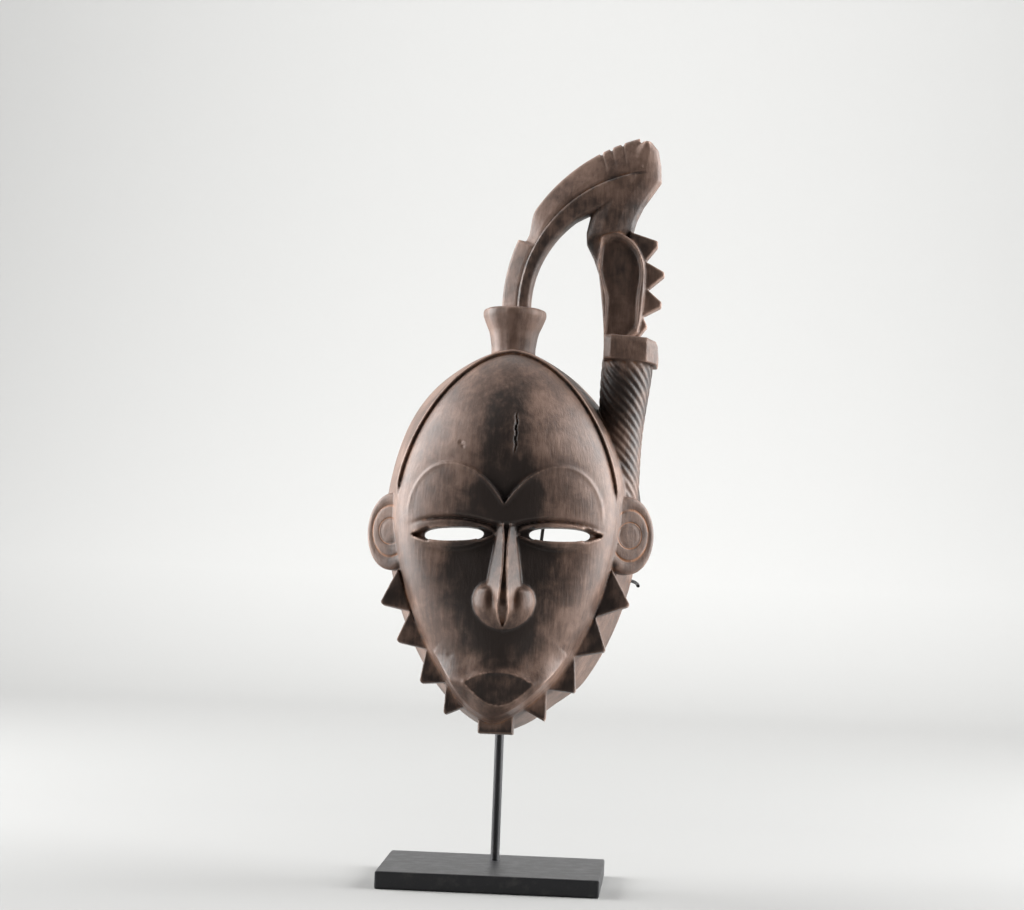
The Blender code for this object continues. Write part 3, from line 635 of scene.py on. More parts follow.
def beakBody():
    c = crestShape
    section = (
        (-0.10, 0.45), (-0.03, 0.72), (0.02, 0.97), (0.07, 1.0), (0.16, 0.99), (0.40, 0.97), (0.68, 0.94),
        (0.84, 0.87), (0.94, 0.66), (0.98, 0.44), (1.0, 0.24),
    )
    rings = []
    for u in np.linspace(0.0, 1.0, 90):
        inner, crease = crestPoint("inner", u), crestPoint("crease", u)
        if u > 0.80:
            inner = inner + (u - 0.80) * np.array([130.0, 55.0])
        end = sqrt(max(0.0, 1.0 - max(0.0, (u - 0.93) / 0.075) ** 2))
        rings.append(sectionRing(crease, inner - crease, section, c["beakHalf"] * (0.35 + 0.65 * end)))
    return loftBody(rings)


def casqueBody():
    c = crestShape
    section = (
        (0.0, 0.35), (0.02, 0.75), (0.07, 1.0), (0.30, 1.55), (0.55, 2.15), (0.70, 2.35), (0.76, 2.2),
        (0.82, 1.9), (1.0, 1.8),
    )
    first, last, pitch = c["scallopTurns"]
    rings = []
    for u in np.linspace(0.003, 0.994, 180):
        outer, crease = crestPoint("outer", u), crestPoint("crease", u)
        across = (crease - outer) / np.linalg.norm(crease - outer)
        turn = c["outerTurn"][0] + c["outerTurn"][1] * u
        cut = c["notch"] * float(smooth(0.385, 0.40, turn) * (1.0 - smooth(0.43, 0.58, turn)))
        if first < turn < last and abs(sin((turn - 1.055) * pi / pitch)) < 0.34:
            cut += c["scallop"]
        start = outer + across * cut
        rings.append(sectionRing(start, crease + across * c["lap"] - start, section, c["edgeHalf"]))
    return loftBody(rings)


# The neck's two sides, from the beak down to the comb, as (left x, left z, right x, right z).
def neckBody():
    stations = (
        (82.5, 277.0, 88.5, 276.5), (77.0, 272.0, 93.4, 270.5), (70.0, 264.0, 95.5, 260.0),
        (64.0, 254.0, 96.2, 249.0), (54.0, 240.0, 90.0, 239.6), (48.5, 224.0, 84.4, 231.0),
        (46.0, 212.0, 80.2, 221.5), (46.5, 204.0, 77.6, 211.0), (51.5, 194.5, 78.0, 200.0),
        (55.5, 184.0, 78.0, 190.0),
    )
    table = np.array(stations)
    marks = np.linspace(0, len(stations) - 1, 64)
    rows = np.stack([np.interp(marks, np.arange(len(stations)), table[:, k]) for k in range(4)], 1)
    section = (
        (0.0, 0.30), (0.03, 0.55), (0.12, 0.74), (0.33, 0.98), (0.45, 1.0), (0.62, 0.98), (0.80, 0.80),
        (0.92, 0.62), (1.0, 0.34),
    )
    rings = []
    for mark, (ax, az, bx, bz) in zip(marks, rows):
        share = mark / (len(stations) - 1)
        thin = 0.80 + 0.20 * float(smooth(0.12, 0.48, share))
        thin = thin * (1.0 - 0.45 * float(smooth(0.70, 0.78, share)))
        rings.append(sectionRing((ax, az), (bx - ax, bz - az), section, crestShape["neckHalf"] * thin))
    return loftBody(rings)


leafShape = {
    "footLeft": (61.0, 134.0),
    "footRight": (74.0, 134.0),
    "lean": 6.5,
    "leftTall": 56.0,
    "centre": (66.5, 183.0),
    "half": 20.8,
    "rise": 28.5,
    "drop": 46.0,
    "middle": (70.5, 168.0),
}


def leafOutline():
    f = leafShape
    (footX, footZ), (cx, cz) = f["footLeft"], f["centre"]
    left = [(footX - f["lean"] * u ** 1.5, footZ + f["leftTall"] * u) for u in np.linspace(0, 1, 24)]
    crown = []
    for t in np.radians(np.linspace(118.0, 0.0, 34)):
        crown.append((cx + f["half"] * cos(t), cz + f["rise"] * sin(t)))
    right = []
    for t in np.radians(np.linspace(-3.0, -60.0, 30)):
        z = cz + f["drop"] * sin(t)
        if z > footZ - 1.0:
            right.append((cx + f["half"] * cos(t * 0.55), z))
    return np.array(left + crown + right + [f["footRight"]])


def wingBody():
    c = crestShape
    line = leafOutline()
    line = np.concatenate([np.linspace(a, b, 4)[:-1] for a, b in zip(line, np.roll(line, -1, axis=0))])
    mid = np.array(leafShape["middle"])
    d = np.linalg.norm(line - mid, axis=1, keepdims=True)
    half, floor = c["wingHalf"], c["wingFloor"]
    rings = []
    for inset, rise in ((3.0, 1.0), (1.0, 0.96), (0.0, 0.85)):
        ring = mid + (line - mid) * (1.0 - inset / d)
        rings.append(np.stack([ring[:, 0], np.full(len(ring), c["y"] + half * rise), ring[:, 1]], 1))
    for inset, drop in ((0.0, 1.4), (0.5, 0.4), (1.3, -0.15), (2.6, -0.1), (3.3, 0.5), (3.8, 1.5), (4.3, 2.4),
                        (5.0, floor), (6.5, floor + 0.1), (8.5, floor), (11.0, floor), (14.0, floor)):
        step = np.minimum(inset, d[:, 0] * 0.96)
        ring = mid + (line - mid) * (1.0 - step[:, None] / d)
        rings.append(np.stack([ring[:, 0], np.full(len(ring), c["y"] - half + drop), ring[:, 1]], 1))
    return loftBody(rings)


def combBodies():
    comb = (
        ((76.0, 213.5), (95.2, 207.6), (95.4, 204.0), (88.0, 194.3), (76.0, 192.0)),
        ((84.0, 194.0), (89.0, 192.4), (100.2, 186.4), (100.8, 183.8), (90.6, 174.8), (80.0, 174.0)),
        ((82.0, 176.0), (89.0, 174.2), (99.4, 165.4), (99.2, 162.2), (88.4, 156.2), (78.0, 157.0)),
        ((80.0, 159.0), (87.2, 154.9), (90.2, 148.4), (85.0, 141.5), (74.0, 138.0)),
    )
    return [boardBody(outline, crestShape["y"] - 6.0, 12.0, 0.8) for outline in comb]


collarShape = {
    "ahead": 25.0,
    "deep": 38.0,
    "sides": (61.4, 90.5, 98.4),
}


def collarBody():
    front = crestShape["y"] - collarShape["ahead"]
    back = front + collarShape["deep"]
    left, edge, right = collarShape["sides"]
    rings = []
    for z, grow in ((122.8, -1.2), (123.5, 0.0), (130.0, 0.2), (136.5, -0.4), (139.4, -1.8), (140.2, -4.0)):
        rings.append([
            (left, front + 4.0 - grow, z), (left + 5.0, front - grow, z),
            (edge, front + 1.5 - grow, z - 1.5), (right + grow, front + 9.0, z - 3.0),
            (right + grow, back - 9.0, z - 3.0), (edge, back - 1.5 + grow, z - 1.5),
            (left + 5.0, back + grow, z), (left, back - 4.0 + grow, z),
        ])
    return loftBody(rings)


# The fluted column: one helical strand, repeated round the axis by Geometry Nodes
columnShape = {
    "top": (78.2, 24.0, 126.0),
    "end": (70.6, 30.0, 22.0),
    "radius": 16.6,
    "flutes": 16,
    "strand": 2.15,
    "angle": 46.0,
}


class NodeKit:
    def __init__(self, tree):
        self.tree = tree

    def add(self, kind, settings=None, **inputs):
        node = self.tree.nodes.new(kind)
        for key, value in (settings or {}).items():
            setattr(node, key, value)
        for key, value in inputs.items():
            target = node.inputs[key] if key in node.inputs else node.inputs[key.replace("_", " ")]
            self.feed(value, target)
        return node

    def feed(self, value, target):
        if isinstance(value, Value):
            value = value.socket
        if isinstance(value, bpy.types.NodeSocket):
            self.tree.links.new(value, target)
        else:
            target.default_value = value

    def link(self, source, target):
        self.tree.links.new(source, target)

    def noise(self, vector, scale, detail=4.0, roughness=0.55, distortion=0.0):
        node = self.add("ShaderNodeTexNoise", {}, Vector=vector, Scale=scale, Detail=detail,
                        Roughness=roughness, Distortion=distortion)
        return Value(self, node.outputs["Fac"])

    def stretch(self, vector, x, y, z):
        node = self.add("ShaderNodeVectorMath", {"operation": "MULTIPLY"})
        self.link(vector, node.inputs[0])
        node.inputs[1].default_value = (x, y, z)
        return node.outputs[0]

    def remap(self, value, low, high, toLow=0.0, toHigh=1.0):
        node = self.add("ShaderNodeMapRange", {"interpolation_type": "SMOOTHSTEP"}, Value=value)
        node.inputs["From Min"].default_value = low
        node.inputs["From Max"].default_value = high
        node.inputs["To Min"].default_value = toLow
        node.inputs["To Max"].default_value = toHigh
        return Value(self, node.outputs[0])

    def mix(self, share, first, second):
        node = self.add("ShaderNodeMix", {"data_type": "RGBA"})
        self.feed(share, node.inputs[0])
        self.feed(first, node.inputs[6])
        self.feed(second, node.inputs[7])
        return node.outputs[2]


class Value:
    def __init__(self, kit, socket):
        self.kit = kit
        self.socket = socket

    def maths(self, operation, first, second):
        node = self.kit.add("ShaderNodeMath", {"operation": operation})
        self.kit.feed(first, node.inputs[0])
        self.kit.feed(second, node.inputs[1])
        return Value(self.kit, node.outputs[0])

    def __add__(self, other):
        return self.maths("ADD", self, other)

    def __radd__(self, other):
        return self.maths("ADD", other, self)

    def __sub__(self, other):
        return self.maths("SUBTRACT", self, other)

    def __rsub__(self, other):
        return self.maths("SUBTRACT", other, self)

    def __mul__(self, other):
        return self.maths("MULTIPLY", self, other)

    def __rmul__(self, other):
        return self.maths("MULTIPLY", other, self)

    def __truediv__(self, other):
        return self.maths("DIVIDE", self, other)

    def __rtruediv__(self, other):
        return self.maths("DIVIDE", other, self)

    def __pow__(self, other):
        return self.maths("POWER", self, other)

    def limit(self, low=0.0, high=1.0):
        return self.maths("MINIMUM", self.maths("MAXIMUM", self, low), high)


def fluteTree(material):
    tree = bpy.data.node_groups.new("flutedColumn", "GeometryNodeTree")
    face = tree.interface
    face.new_socket("Geometry", in_out="INPUT", socket_type="NodeSocketGeometry")
    face.new_socket("Geometry", in_out="OUTPUT", socket_type="NodeSocketGeometry")
    for name, kind in (("Strands", "NodeSocketInt"), ("Strand Radius", "NodeSocketFloat"),
                       ("Column Radius", "NodeSocketFloat"), ("Turns", "NodeSocketFloat"),
                       ("Height", "NodeSocketFloat")):
        face.new_socket(name, in_out="INPUT", socket_type=kind)
    kit = NodeKit(tree)
    source = tree.nodes.new("NodeGroupInput").outputs
    sink = tree.nodes.new("NodeGroupOutput")
    spiral = kit.add("GeometryNodeCurveSpiral", {}, Resolution=180, Reverse=True)
    for name, key in (("Rotations", "Turns"), ("Start Radius", "Column Radius"),
                      ("End Radius", "Column Radius"), ("Height", "Height")):
        kit.link(source[key], spiral.inputs[name])
    ring = kit.add("GeometryNodeMeshCircle", {}, Radius=1.0)
    kit.link(source["Strands"], ring.inputs["Vertices"])
    where = kit.add("GeometryNodeInputPosition")
    angle = kit.add("ShaderNodeSeparateXYZ", {}, Vector=where.outputs[0])
    turn = kit.add("ShaderNodeMath", {"operation": "ARCTAN2"})
    kit.link(angle.outputs["Y"], turn.inputs[0])
    kit.link(angle.outputs["X"], turn.inputs[1])
    spin = kit.add("ShaderNodeCombineXYZ", {}, Z=turn.outputs[0])
    centre = kit.add("GeometryNodeSetPosition", {}, Geometry=ring.outputs[0])
    centre.inputs["Position"].default_value = (0.0, 0.0, 0.0)
    held = kit.add("GeometryNodeCaptureAttribute")
    held.capture_items.new("VECTOR", "Spin")
    kit.link(ring.outputs[0], held.inputs["Geometry"])
    kit.link(spin.outputs[0], held.inputs["Spin"])
    kit.link(held.outputs["Geometry"], centre.inputs["Geometry"])
    copies = kit.add("GeometryNodeInstanceOnPoints", {}, Points=centre.outputs[0], Instance=spiral.outputs[0])
    asTurn = kit.add("FunctionNodeEulerToRotation")
    kit.link(held.outputs["Spin"], asTurn.inputs[0])
    kit.link(asTurn.outputs[0], copies.inputs["Rotation"])
    real = kit.add("GeometryNodeRealizeInstances", {}, Geometry=copies.outputs[0])
    profile = kit.add("GeometryNodeCurvePrimitiveCircle", {}, Resolution=12)
    kit.link(source["Strand Radius"], profile.inputs["Radius"])
    tube = kit.add("GeometryNodeCurveToMesh", {}, Curve=real.outputs[0])
    kit.link(profile.outputs[0], tube.inputs["Profile Curve"])
    tube.inputs["Fill Caps"].default_value = True
    final = kit.add("GeometryNodeRealizeInstances", {}, Geometry=tube.outputs[0])
    paint = kit.add("GeometryNodeSetMaterial", {}, Geometry=final.outputs[0], Material=material)
    kit.link(paint.outputs[0], sink.inputs[0])
    return tree


def columnMeshes(material):
    c = columnShape
    top, end = Vector(c["top"]), Vector(c["end"])
    length = (top - end).length
    seed = addObject("flutes", bpy.data.meshes.new("flutes"))
    tree = fluteTree(material)
    mod = seed.modifiers.new("flutes", "NODES")
    mod.node_group = tree
    values = {
        "Strands": c["flutes"],
        "Strand Radius": c["strand"],
        "Column Radius": c["radius"] - c["strand"] + 0.15,
        "Turns": tan(radians(c["angle"])) * length / (2.0 * pi * c["radius"]),
        "Height": length,
    }
    for item in tree.interface.items_tree:
        if item.in_out == "INPUT" and item.name in values:
            mod[item.identifier] = values[item.name]
    mesh = evaluatedMesh(seed)
    bpy.data.objects.remove(seed, do_unlink=True)
    points = readPoints(mesh, "co")
    share = points[:, 2:3] / length
    axis = np.array(end) + (np.array(top) - np.array(end)) * share
    flutes = np.stack([axis[:, 0] - points[:, 0], axis[:, 1] + points[:, 1], axis[:, 2]], 1)
    faces = [tuple(p.vertices) for p in mesh.polygons]
    t = 2.0 * pi * np.arange(96) / 96
    core = []
    for u in np.linspace(0.0, 1.0, 30):
        x, y, z = end.lerp(top, u)
        r = c["radius"] - c["strand"] * 1.15
        core.append(np.stack([x + r * np.cos(t), y + r * np.sin(t), np.full_like(t, z)], 1))
    return (flutes, faces), loftBody(core)


# The carved piece: every body joined, made one skin, and trimmed to its budget
skinSettings = {
    "partVoxel": 0.8,
    "voxel": 0.7,
    "smoothing": 1,
    "triangles": 190000,
}


def applied(item, *modifiers):
    for kind, settings in modifiers:
        mod = item.modifiers.new(kind.lower(), kind)
        for key, value in settings.items():
            setattr(mod, key, value)
    mesh = evaluatedMesh(item)
    item.modifiers.clear()
    item.data = mesh


def buildMask(material):
    shell = makeObject("shell", *shellBody())
    for k in (0, 1):
        cutter = makeObject("cutter", *eyeCutter(k))
        applied(shell, ("BOOLEAN", {"operation": "DIFFERENCE", "solver": "EXACT", "object": cutter}))
        bpy.data.objects.remove(cutter, do_unlink=True)
    print("face shell", len(shell.data.vertices), "points")
    bodies = [earBody(0), earBody(1), cupBody(), beakBody(), casqueBody(), neckBody(), wingBody()]
    bodies += [collarBody()] + beardBodies() + combBodies()
    flutes, core = columnMeshes(material)
    bodies += [flutes, core]
    parts = [makeObject("part", *body) for body in bodies]
    trimmer = makeObject("trimmer", *hollowBody())
    for item in parts[:3] + parts[-2:]:
        applied(item, ("REMESH", {"mode": "VOXEL", "voxel_size": skinSettings["partVoxel"]}))
        applied(item, ("BOOLEAN", {"operation": "DIFFERENCE", "solver": "EXACT", "object": trimmer}))
    bpy.data.objects.remove(trimmer, do_unlink=True)
    work = bmesh.new()
    for item in [shell] + parts:
        work.from_mesh(item.data)
        bpy.data.objects.remove(item, do_unlink=True)
    mesh = bpy.data.meshes.new("carvedMask")
    work.to_mesh(mesh)
    work.free()
    piece = addObject("carvedMask", mesh)
    applied(piece, ("REMESH", {"mode": "VOXEL", "voxel_size": skinSettings["voxel"]}))
    print("one skin", len(piece.data.polygons), "faces")
    applied(piece, ("SMOOTH", {"factor": 0.5, "iterations": skinSettings["smoothing"]}))
    count = sum(len(p.vertices) - 2 for p in piece.data.polygons)
    applied(piece, ("DECIMATE", {"ratio": min(1.0, skinSettings["triangles"] / count)}))
    piece.data.transform(maskMatrix())
    markWear(piece.data)
    for polygon in piece.data.polygons:
        polygon.use_smooth = True
    piece.data.materials.clear()
    piece.data.materials.append(material)
    print("carved mask", len(piece.data.polygons), "faces")
    return piece


# The space inside the shell, a little into the wood, to keep added bodies out of it.
def hollowBody():
    t = 2.0 * pi * (np.arange(120) + 0.5) / 120
    rings = []
    for w, extra in ((1.0, 40.0), (1.0, 0.0), (0.5, 0.0), (0.0, 0.0), (0.0, -30.0)):
        rings.append(wallPoint(t, w, faceShape["wall"] * 0.5) + np.array([0.0, extra, 0.0]))
    return loftBody(rings)


# Point values for the paint: edges and hollows, painted shade over the carving that faces the viewer, and
# what lies beside the eyes.
def markWear(mesh):
    count = len(mesh.vertices)
    points, normals = readPoints(mesh, "co"), readPoints(mesh, "normal")
    edges = np.empty(len(mesh.edges) * 2, dtype=int)
    mesh.edges.foreach_get("vertices", edges)
    a, b = edges.reshape(-1, 2).T
    share = np.bincount(a, minlength=count) + np.bincount(b, minlength=count)
    share = np.maximum(share, 1)[:, None]
    delta = points[b] - points[a]
    length = np.linalg.norm(delta, axis=1, keepdims=True) + 1e-9
    bend = (normals[b] - normals[a]) * delta / length ** 2
    bend = bend.sum(1)
    curve = (np.bincount(a, bend, count) + np.bincount(b, bend, count)) / share[:, 0]
    fine = curve
    for _ in range(3):
        near = (np.bincount(a, fine[b], count) + np.bincount(b, fine[a], count)) / share[:, 0]
        fine = 0.5 * fine + 0.5 * near
    back = np.array(maskMatrix().inverted())
    x, y, z = (points @ back[:3, :3].T + back[:3, 3]).T
    earShare = smooth(1.03, 1.06, faceLevel(x, z)) * smooth(3.0, 5.0, y) * (np.abs(z) < 32.0)
    layers = {"fineBend": fine * 0.001, "paintedShade": paintedShadeShare(x, y, z), "ear": earShare}
    for name, values in layers.items():
        layer = mesh.attributes.new(name, "FLOAT", "POINT")
        layer.data.foreach_set("value", values.astype(np.float32))


# Painted shade on the carving that faces the viewer, and how far each stretch of height is darkened.
paintedShadeShape = {
    "heights": (-98.0, -76.0, -24.0, 0.0, 25.0, 45.0, 90.0, 105.0),
    "halfWidths": (8.0, 25.0, 41.0, 37.0, 30.0, 19.0, 15.0, 8.0),
    "shares": (0.3, 1.0, 1.0, 1.0, 1.0, 0.8, 0.5, 0.0),
    "noseBridge": 0.50,
    "noseLobes": 0.45,
    "lips": 0.55,
    "fringe": 0.85,
    "column": 0.55,
    "beak": 0.5,
    "neck": 0.4,
}


# Painted shade share: the face front, lips, fringe, column, beak and neck are darkened where they face the
# viewer.
def paintedShadeShare(x, y, z):
    p, n, c = paintedShadeShape, noseShape, crestShape
    level = faceLevel(x, z)
    front = smooth(-3.0, 4.0, -y)
    half = noseHalf(z)
    nose = (1.0 - smooth(half - 0.6, half + 1.0, np.abs(x - n["x"]))) * smooth(-68.0, -65.0, z)
    nose = nose * (1.0 - smooth(3.0, 6.5, z))
    reach = np.abs(x - 1.0) / np.interp(z, p["heights"], p["halfWidths"])
    share = (1.0 - smooth(0.55, 1.3, reach)) * np.interp(z, p["heights"], p["shares"])
    share = share * smooth(-98.0, -90.0, z)
    share = share * (1.0 - nose * (p["noseBridge"] + p["noseLobes"] * smooth(36.0, 42.0, -z)))
    share = (share + p["lips"] * (1.0 - smooth(0.95, 1.04, mouthLevel(x, z)))) * front
    tooth = beardShape["front"]
    fringe = smooth(1.03, 1.06, level) * smooth(-14.0, -20.0, z) * (1.0 - smooth(tooth + 1.0, tooth + 3.0, y))
    column = smooth(52.0, 58.0, x) * smooth(24.0, 32.0, z) * (1.0 - smooth(116.0, 120.0, z))
    column = column * smooth(1.05, 1.1, level)
    radius = np.hypot(x - c["crease"][0], z - c["crease"][1])
    high = smooth(152.0, 160.0, z)
    beak = high * (1.0 - smooth(c["crease"][2] - 1.5, c["crease"][2], radius)) * (1.0 - smooth(48.0, 56.0, x))
    neck = smooth(205.0, 212.0, z) * (1.0 - smooth(228.0, 240.0, z)) * smooth(48.0, 56.0, x)
    share = share + p["fringe"] * fringe + p["column"] * column + p["beak"] * beak + p["neck"] * neck
    return share.clip(0.0, 1.0)


# Paints
woodPaint = {
    "dark": (0.026, 0.018, 0.015, 1.0),
    "brown": (0.115, 0.070, 0.052, 1.0),
    "worn": (0.300, 0.195, 0.150, 1.0),
    "rust": (0.260, 0.105, 0.040, 1.0),
    "roughness": 0.47,
    "specular": 0.34,
    "grainDepth": 0.30,
    "grainScale": 420.0,
    "streakScale": 900.0,
    "cloudScale": 22.0,
    "blotchScale": 75.0,
    "speckScale": 1500.0,
    "bumpDistance": 0.0012,
    "rustShare": 0.42,
    "ringColour": 0.75,
}
steelPaint = {
    "colour": (0.018, 0.018, 0.020, 1.0),
    "worn": (0.075, 0.070, 0.066, 1.0),
    "roughness": 0.38,
    "metallic": 0.35,
    "blotchScale": 90.0,
    "speckScale": 900.0,
}


# Two incised rings on each ear disc, drawn in the disc's own flattened distance.
def earRings(kit, place, breakup):
    e = earShape
    at = kit.add("ShaderNodeSeparateXYZ", {}, Vector=place)
    x, z = Value(kit, at.outputs["X"]), Value(kit, at.outputs["Z"])
    total = 0.0
    for cx, cz in e["centres"]:
        spot = maskMatrix() @ Vector((cx, e["y"], cz))
        for halfWide, halfTall in e["lines"]:
            across = (x - spot.x) / (halfWide * 0.001)
            along = (z - spot.z) / (halfTall * 0.001)
            away = (across * across + along * along) ** 0.5 - 1.0
            total = total + (1.0 - kit.remap(away * away, 0.0, e["lineWidth"] ** 2))
    live = kit.remap(breakup, 0.36, 0.50, 0.25, 1.0)
    onEar = Value(kit, kit.add("ShaderNodeAttribute", {"attribute_name": "ear"}).outputs["Fac"])
    return (total * live * onEar).limit()


# The line where casque and beak meet, along the first quarter of its circle.
def creaseLine(kit, place):
    cx, cz, radius = crestShape["crease"]
    spot = maskMatrix() @ Vector((cx, crestShape["y"], cz))
    at = kit.add("ShaderNodeSeparateXYZ", {}, Vector=place)
    across = Value(kit, at.outputs["X"]) - spot.x
    along = Value(kit, at.outputs["Z"]) - spot.z
    away = ((across * across + along * along) ** 0.5 - radius * 0.001) / crestShape["lineHalf"]
    live = kit.remap(along, -0.004, 0.004) * kit.remap(0.0 - across, 0.010, 0.020)
    return (1.0 - kit.remap(away * away, 0.1, 1.0)) * live


def newPaint(name):
    mat = bpy.data.materials.new(name)
    mat.use_nodes = True
    kit = NodeKit(mat.node_tree)
    return mat, kit, mat.node_tree.nodes["Principled BSDF"], kit.add("ShaderNodeTexCoord").outputs["Object"]


def woodMaterial():
    w = woodPaint
    mat, kit, shader, place = newPaint("patinatedWood")
    fine = Value(kit, kit.add("ShaderNodeAttribute", {"attribute_name": "fineBend"}).outputs["Fac"])
    grain = kit.noise(kit.stretch(place, 1.0, 1.0, 0.16), w["grainScale"], 6.0, 0.62)
    streak = kit.noise(kit.stretch(place, 1.0, 1.0, 0.07), w["streakScale"], 3.0, 0.5)
    cloud = kit.noise(place, w["cloudScale"], 5.0, 0.58)
    blotch = kit.noise(place, w["blotchScale"], 5.0, 0.62, 0.4)
    speck = kit.noise(place, w["speckScale"], 2.0, 0.5)
    edge = kit.remap(fine, 0.06, 0.42)
    deep = kit.remap(fine, -0.05, -0.35)
    tone = (0.50 * cloud + 0.30 * blotch + 0.20 * grain)
    # Painted shade in the base colour: the front-facing carving is darkened, and outside it the worn colour
    # comes through more.
    core = Value(kit, kit.add("ShaderNodeAttribute", {"attribute_name": "paintedShade"}).outputs["Fac"])
    pale = 1.0 - core
    body = kit.mix(kit.remap(tone - 0.16 * core + 0.06 * pale, 0.36, 0.60), w["dark"], w["brown"])
    worn = edge * kit.remap(blotch, 0.30, 0.60, 0.30, 0.9)
    worn = (worn * (0.35 + 0.65 * pale) + kit.remap(tone, 0.46, 0.66, 0.0, 0.60) * pale).limit()
    body = kit.mix(worn, body, w["worn"])
    # Painted shade: hollows are darkened by their concave bend.
    body = kit.mix((deep * 0.55).limit(), body, w["dark"])
    rust = (deep * kit.remap(blotch, 0.44, 0.58) * w["rustShare"] * (0.3 + 0.7 * pale)).limit()
    body = kit.mix(rust, body, w["rust"])
    rings = earRings(kit, place, blotch)
    body = kit.mix(rings * w["ringColour"], body, w["rust"])
    crease = creaseLine(kit, place)
    body = kit.mix(crease * kit.remap(blotch, 0.40, 0.56, 0.9, 0.35), body, w["dark"])
    body = kit.mix(kit.remap(streak, 0.60, 0.78, 0.0, 0.40), body, w["dark"])
    kit.link(body, shader.inputs["Base Color"])
    rough = (w["roughness"] + 0.16 * (blotch - 0.5) + 0.10 * (grain - 0.5) + 0.12 * deep).limit(0.2, 0.8)
    kit.link(rough.socket, shader.inputs["Roughness"])
    shader.inputs["Specular IOR Level"].default_value = w["specular"]
    height = grain * 0.5 + streak * 0.25 + blotch * 0.6 + speck * 0.12 - 0.8 * rings - 0.9 * crease
    relief = kit.add("ShaderNodeBump", {}, Height=height, Strength=w["grainDepth"],
                     Distance=w["bumpDistance"])
    kit.link(relief.outputs[0], shader.inputs["Normal"])
    return mat


def steelMaterial(name, tone):
    w = steelPaint
    mat, kit, shader, place = newPaint(name)
    blotch = kit.noise(place, w["blotchScale"], 5.0, 0.6)
    speck = kit.noise(place, w["speckScale"], 3.0, 0.6)
    body = kit.mix(kit.remap(blotch, 0.50, 0.75, 0.0, 0.4), w["colour"], w["worn"])
    body = kit.mix(kit.remap(speck, 0.62, 0.80, 0.0, 0.5), body, w["worn"])
    kit.link(body, shader.inputs["Base Color"])
    rough = (w["roughness"] + tone + 0.25 * (blotch - 0.5) + 0.10 * (speck - 0.5)).limit(0.15, 0.8)
    kit.link(rough.socket, shader.inputs["Roughness"])
    shader.inputs["Metallic"].default_value = w["metallic"]
    relief = kit.add("ShaderNodeBump", {}, Height=speck, Strength=0.12, Distance=0.0004)
    kit.link(relief.outputs[0], shader.inputs["Normal"])
    return mat


# Floor, light and camera
stageSettings = {
    "backdrop": 0.66,
    "floorTone": 0.31,
    "toneReach": (0.2, 2.15),
    "world": 0.075,
    "floorFront": -0.42,
    "bendStart": 1.6,
    "bendRadius": 1.2,
    "wallTop": 5.0,
    "halfWidth": 6.0,
    "sideWatts": 98.0,
    "sideTurn": 96.0,
    "sideSize": (1.5, 1.9),
    "sideDistance": 1.35,
    "sideHeight": 0.42,
    "sideAim": (0.0, 0.0, 0.30),
    "backWatts": 50.0,
}
cameraSettings = {
    "target": (0.0016, -0.036, 0.239),
    "pixel": (504.3, 534.0),
    "scale": 0.000673,
    "distance": 2.4,
    "azimuth": 3.0,
    "roll": 2.15,
    "image": (1024, 910),
    "sensor": 36.0,
}


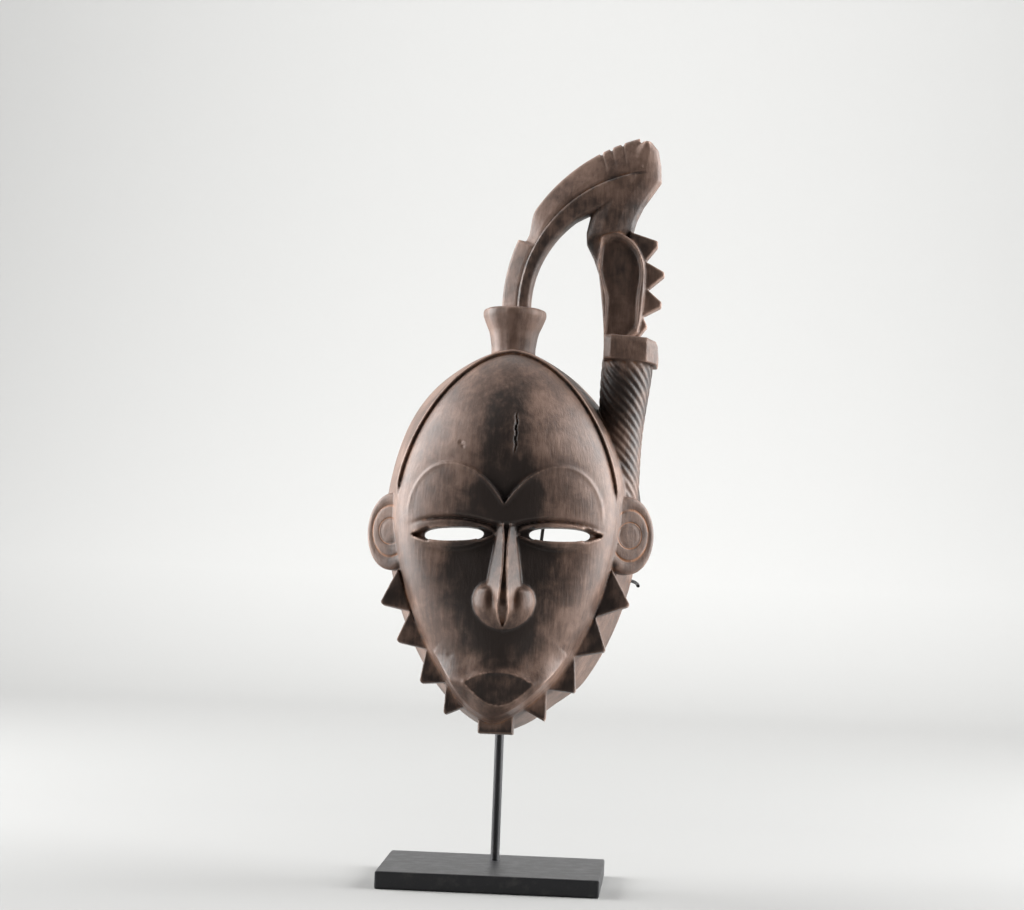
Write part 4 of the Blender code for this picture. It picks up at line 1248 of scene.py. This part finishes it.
def buildStage():
    s = stageSettings
    start, radius, half = s["bendStart"], s["bendRadius"], s["halfWidth"]
    rows = [(s["floorFront"], 0.0), (start, 0.0)]
    for k in range(1, 17):
        t = k / 16 * pi / 2
        rows.append((start + radius * sin(t), radius - radius * cos(t)))
    rows.append((start + radius, s["wallTop"]))
    verts = [(x, y, z) for y, z in rows for x in (-half, half)]
    faces = [(2 * k, 2 * k + 1, 2 * k + 3, 2 * k + 2) for k in range(len(rows) - 1)]
    mesh = bpy.data.meshes.new("sweep")
    mesh.from_pydata(verts, [], faces)
    for polygon in mesh.polygons:
        polygon.use_smooth = True
    sweep = addObject("sweep", mesh)
    mat, kit, shader, place = newPaint("palePaper")
    at = kit.add("ShaderNodeSeparateXYZ", {}, Vector=place)
    fibre = kit.noise(place, 140.0, 4.0, 0.6)
    near, far = s["toneReach"]
    deep = ((Value(kit, at.outputs["Y"]) - near) / (far - near)).limit() ** 2.0
    low, top = s["floorTone"], s["backdrop"]
    paper = kit.mix((deep - 0.03 * fibre).limit(), (low, low, low * 0.985, 1.0), (top, top, top * 0.985, 1.0))
    kit.link(paper, shader.inputs["Base Color"])
    shader.inputs["Roughness"].default_value = 0.9
    shader.inputs["Specular IOR Level"].default_value = 0.1
    mesh.materials.append(mat)
    world = bpy.data.worlds.new("studio")
    bpy.context.scene.world = world
    world.use_nodes = True
    back = world.node_tree.nodes["Background"]
    back.inputs["Color"].default_value = (1.0, 1.0, 0.99, 1.0)
    back.inputs["Strength"].default_value = s["world"]
    for side in (-1, 1):
        turn = side * s["sideTurn"]
        panel("side", s["sideWatts"], s["sideSize"], turn, s["sideDistance"], s["sideHeight"], s["sideAim"])
    panel("back", s["backWatts"], (2.6, 0.8), 180.0, 0.6, 2.3, (0.0, 2.2, 0.4))


# An area light aimed at a point: its turn is measured from the front, plus to the viewer's right.
def panel(name, watts, size, turn, distance, height, aim):
    data = bpy.data.lights.new(name, "AREA")
    data.energy = watts
    data.shape = "RECTANGLE"
    data.size, data.size_y = size
    light = addObject(name, data)
    t = radians(turn)
    light.location = (distance * sin(t), -distance * cos(t), height)
    light.rotation_euler = (Vector(aim) - light.location).to_track_quat("-Z", "Y").to_euler()


def buildCamera():
    c = cameraSettings
    turn, roll = radians(c["azimuth"]), radians(c["roll"])
    ahead = Vector((-sin(turn), cos(turn), 0.0))
    flat = Vector((cos(turn), sin(turn), 0.0))
    up = Vector((0.0, 0.0, 1.0))
    right = flat * cos(roll) + up * sin(roll)
    above = up * cos(roll) - flat * sin(roll)
    width, height = c["image"]
    away = (c["pixel"][0] - width / 2) * c["scale"]
    drop = (c["pixel"][1] - height / 2) * c["scale"]
    place = Vector(c["target"]) - ahead * c["distance"] - right * away + above * drop
    data = bpy.data.cameras.new("camera")
    data.sensor_width = c["sensor"]
    data.lens = c["distance"] / c["scale"] / width * c["sensor"]
    data.clip_end = 30.0
    camera = addObject("camera", data)
    camera.matrix_world = Matrix((
        (right.x, above.x, -ahead.x, place.x),
        (right.y, above.y, -ahead.y, place.y),
        (right.z, above.z, -ahead.z, place.z),
        (0.0, 0.0, 0.0, 1.0),
    ))
    bpy.context.scene.camera = camera


bpy.context.scene.view_settings.view_transform = "Standard"
buildCamera()
buildStage()
print("stage and camera ready")
wood = woodMaterial()
carved = buildMask(wood)
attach(carved, "root")
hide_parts("mask")
for name, tone in (("stand_rod", 0.0), ("stand_base", 0.06)):
    node = bpy.data.objects[name]
    paint = steelMaterial(name + "Paint", tone)
    for slot in node.material_slots:
        slot.material = paint
print("stand painted")
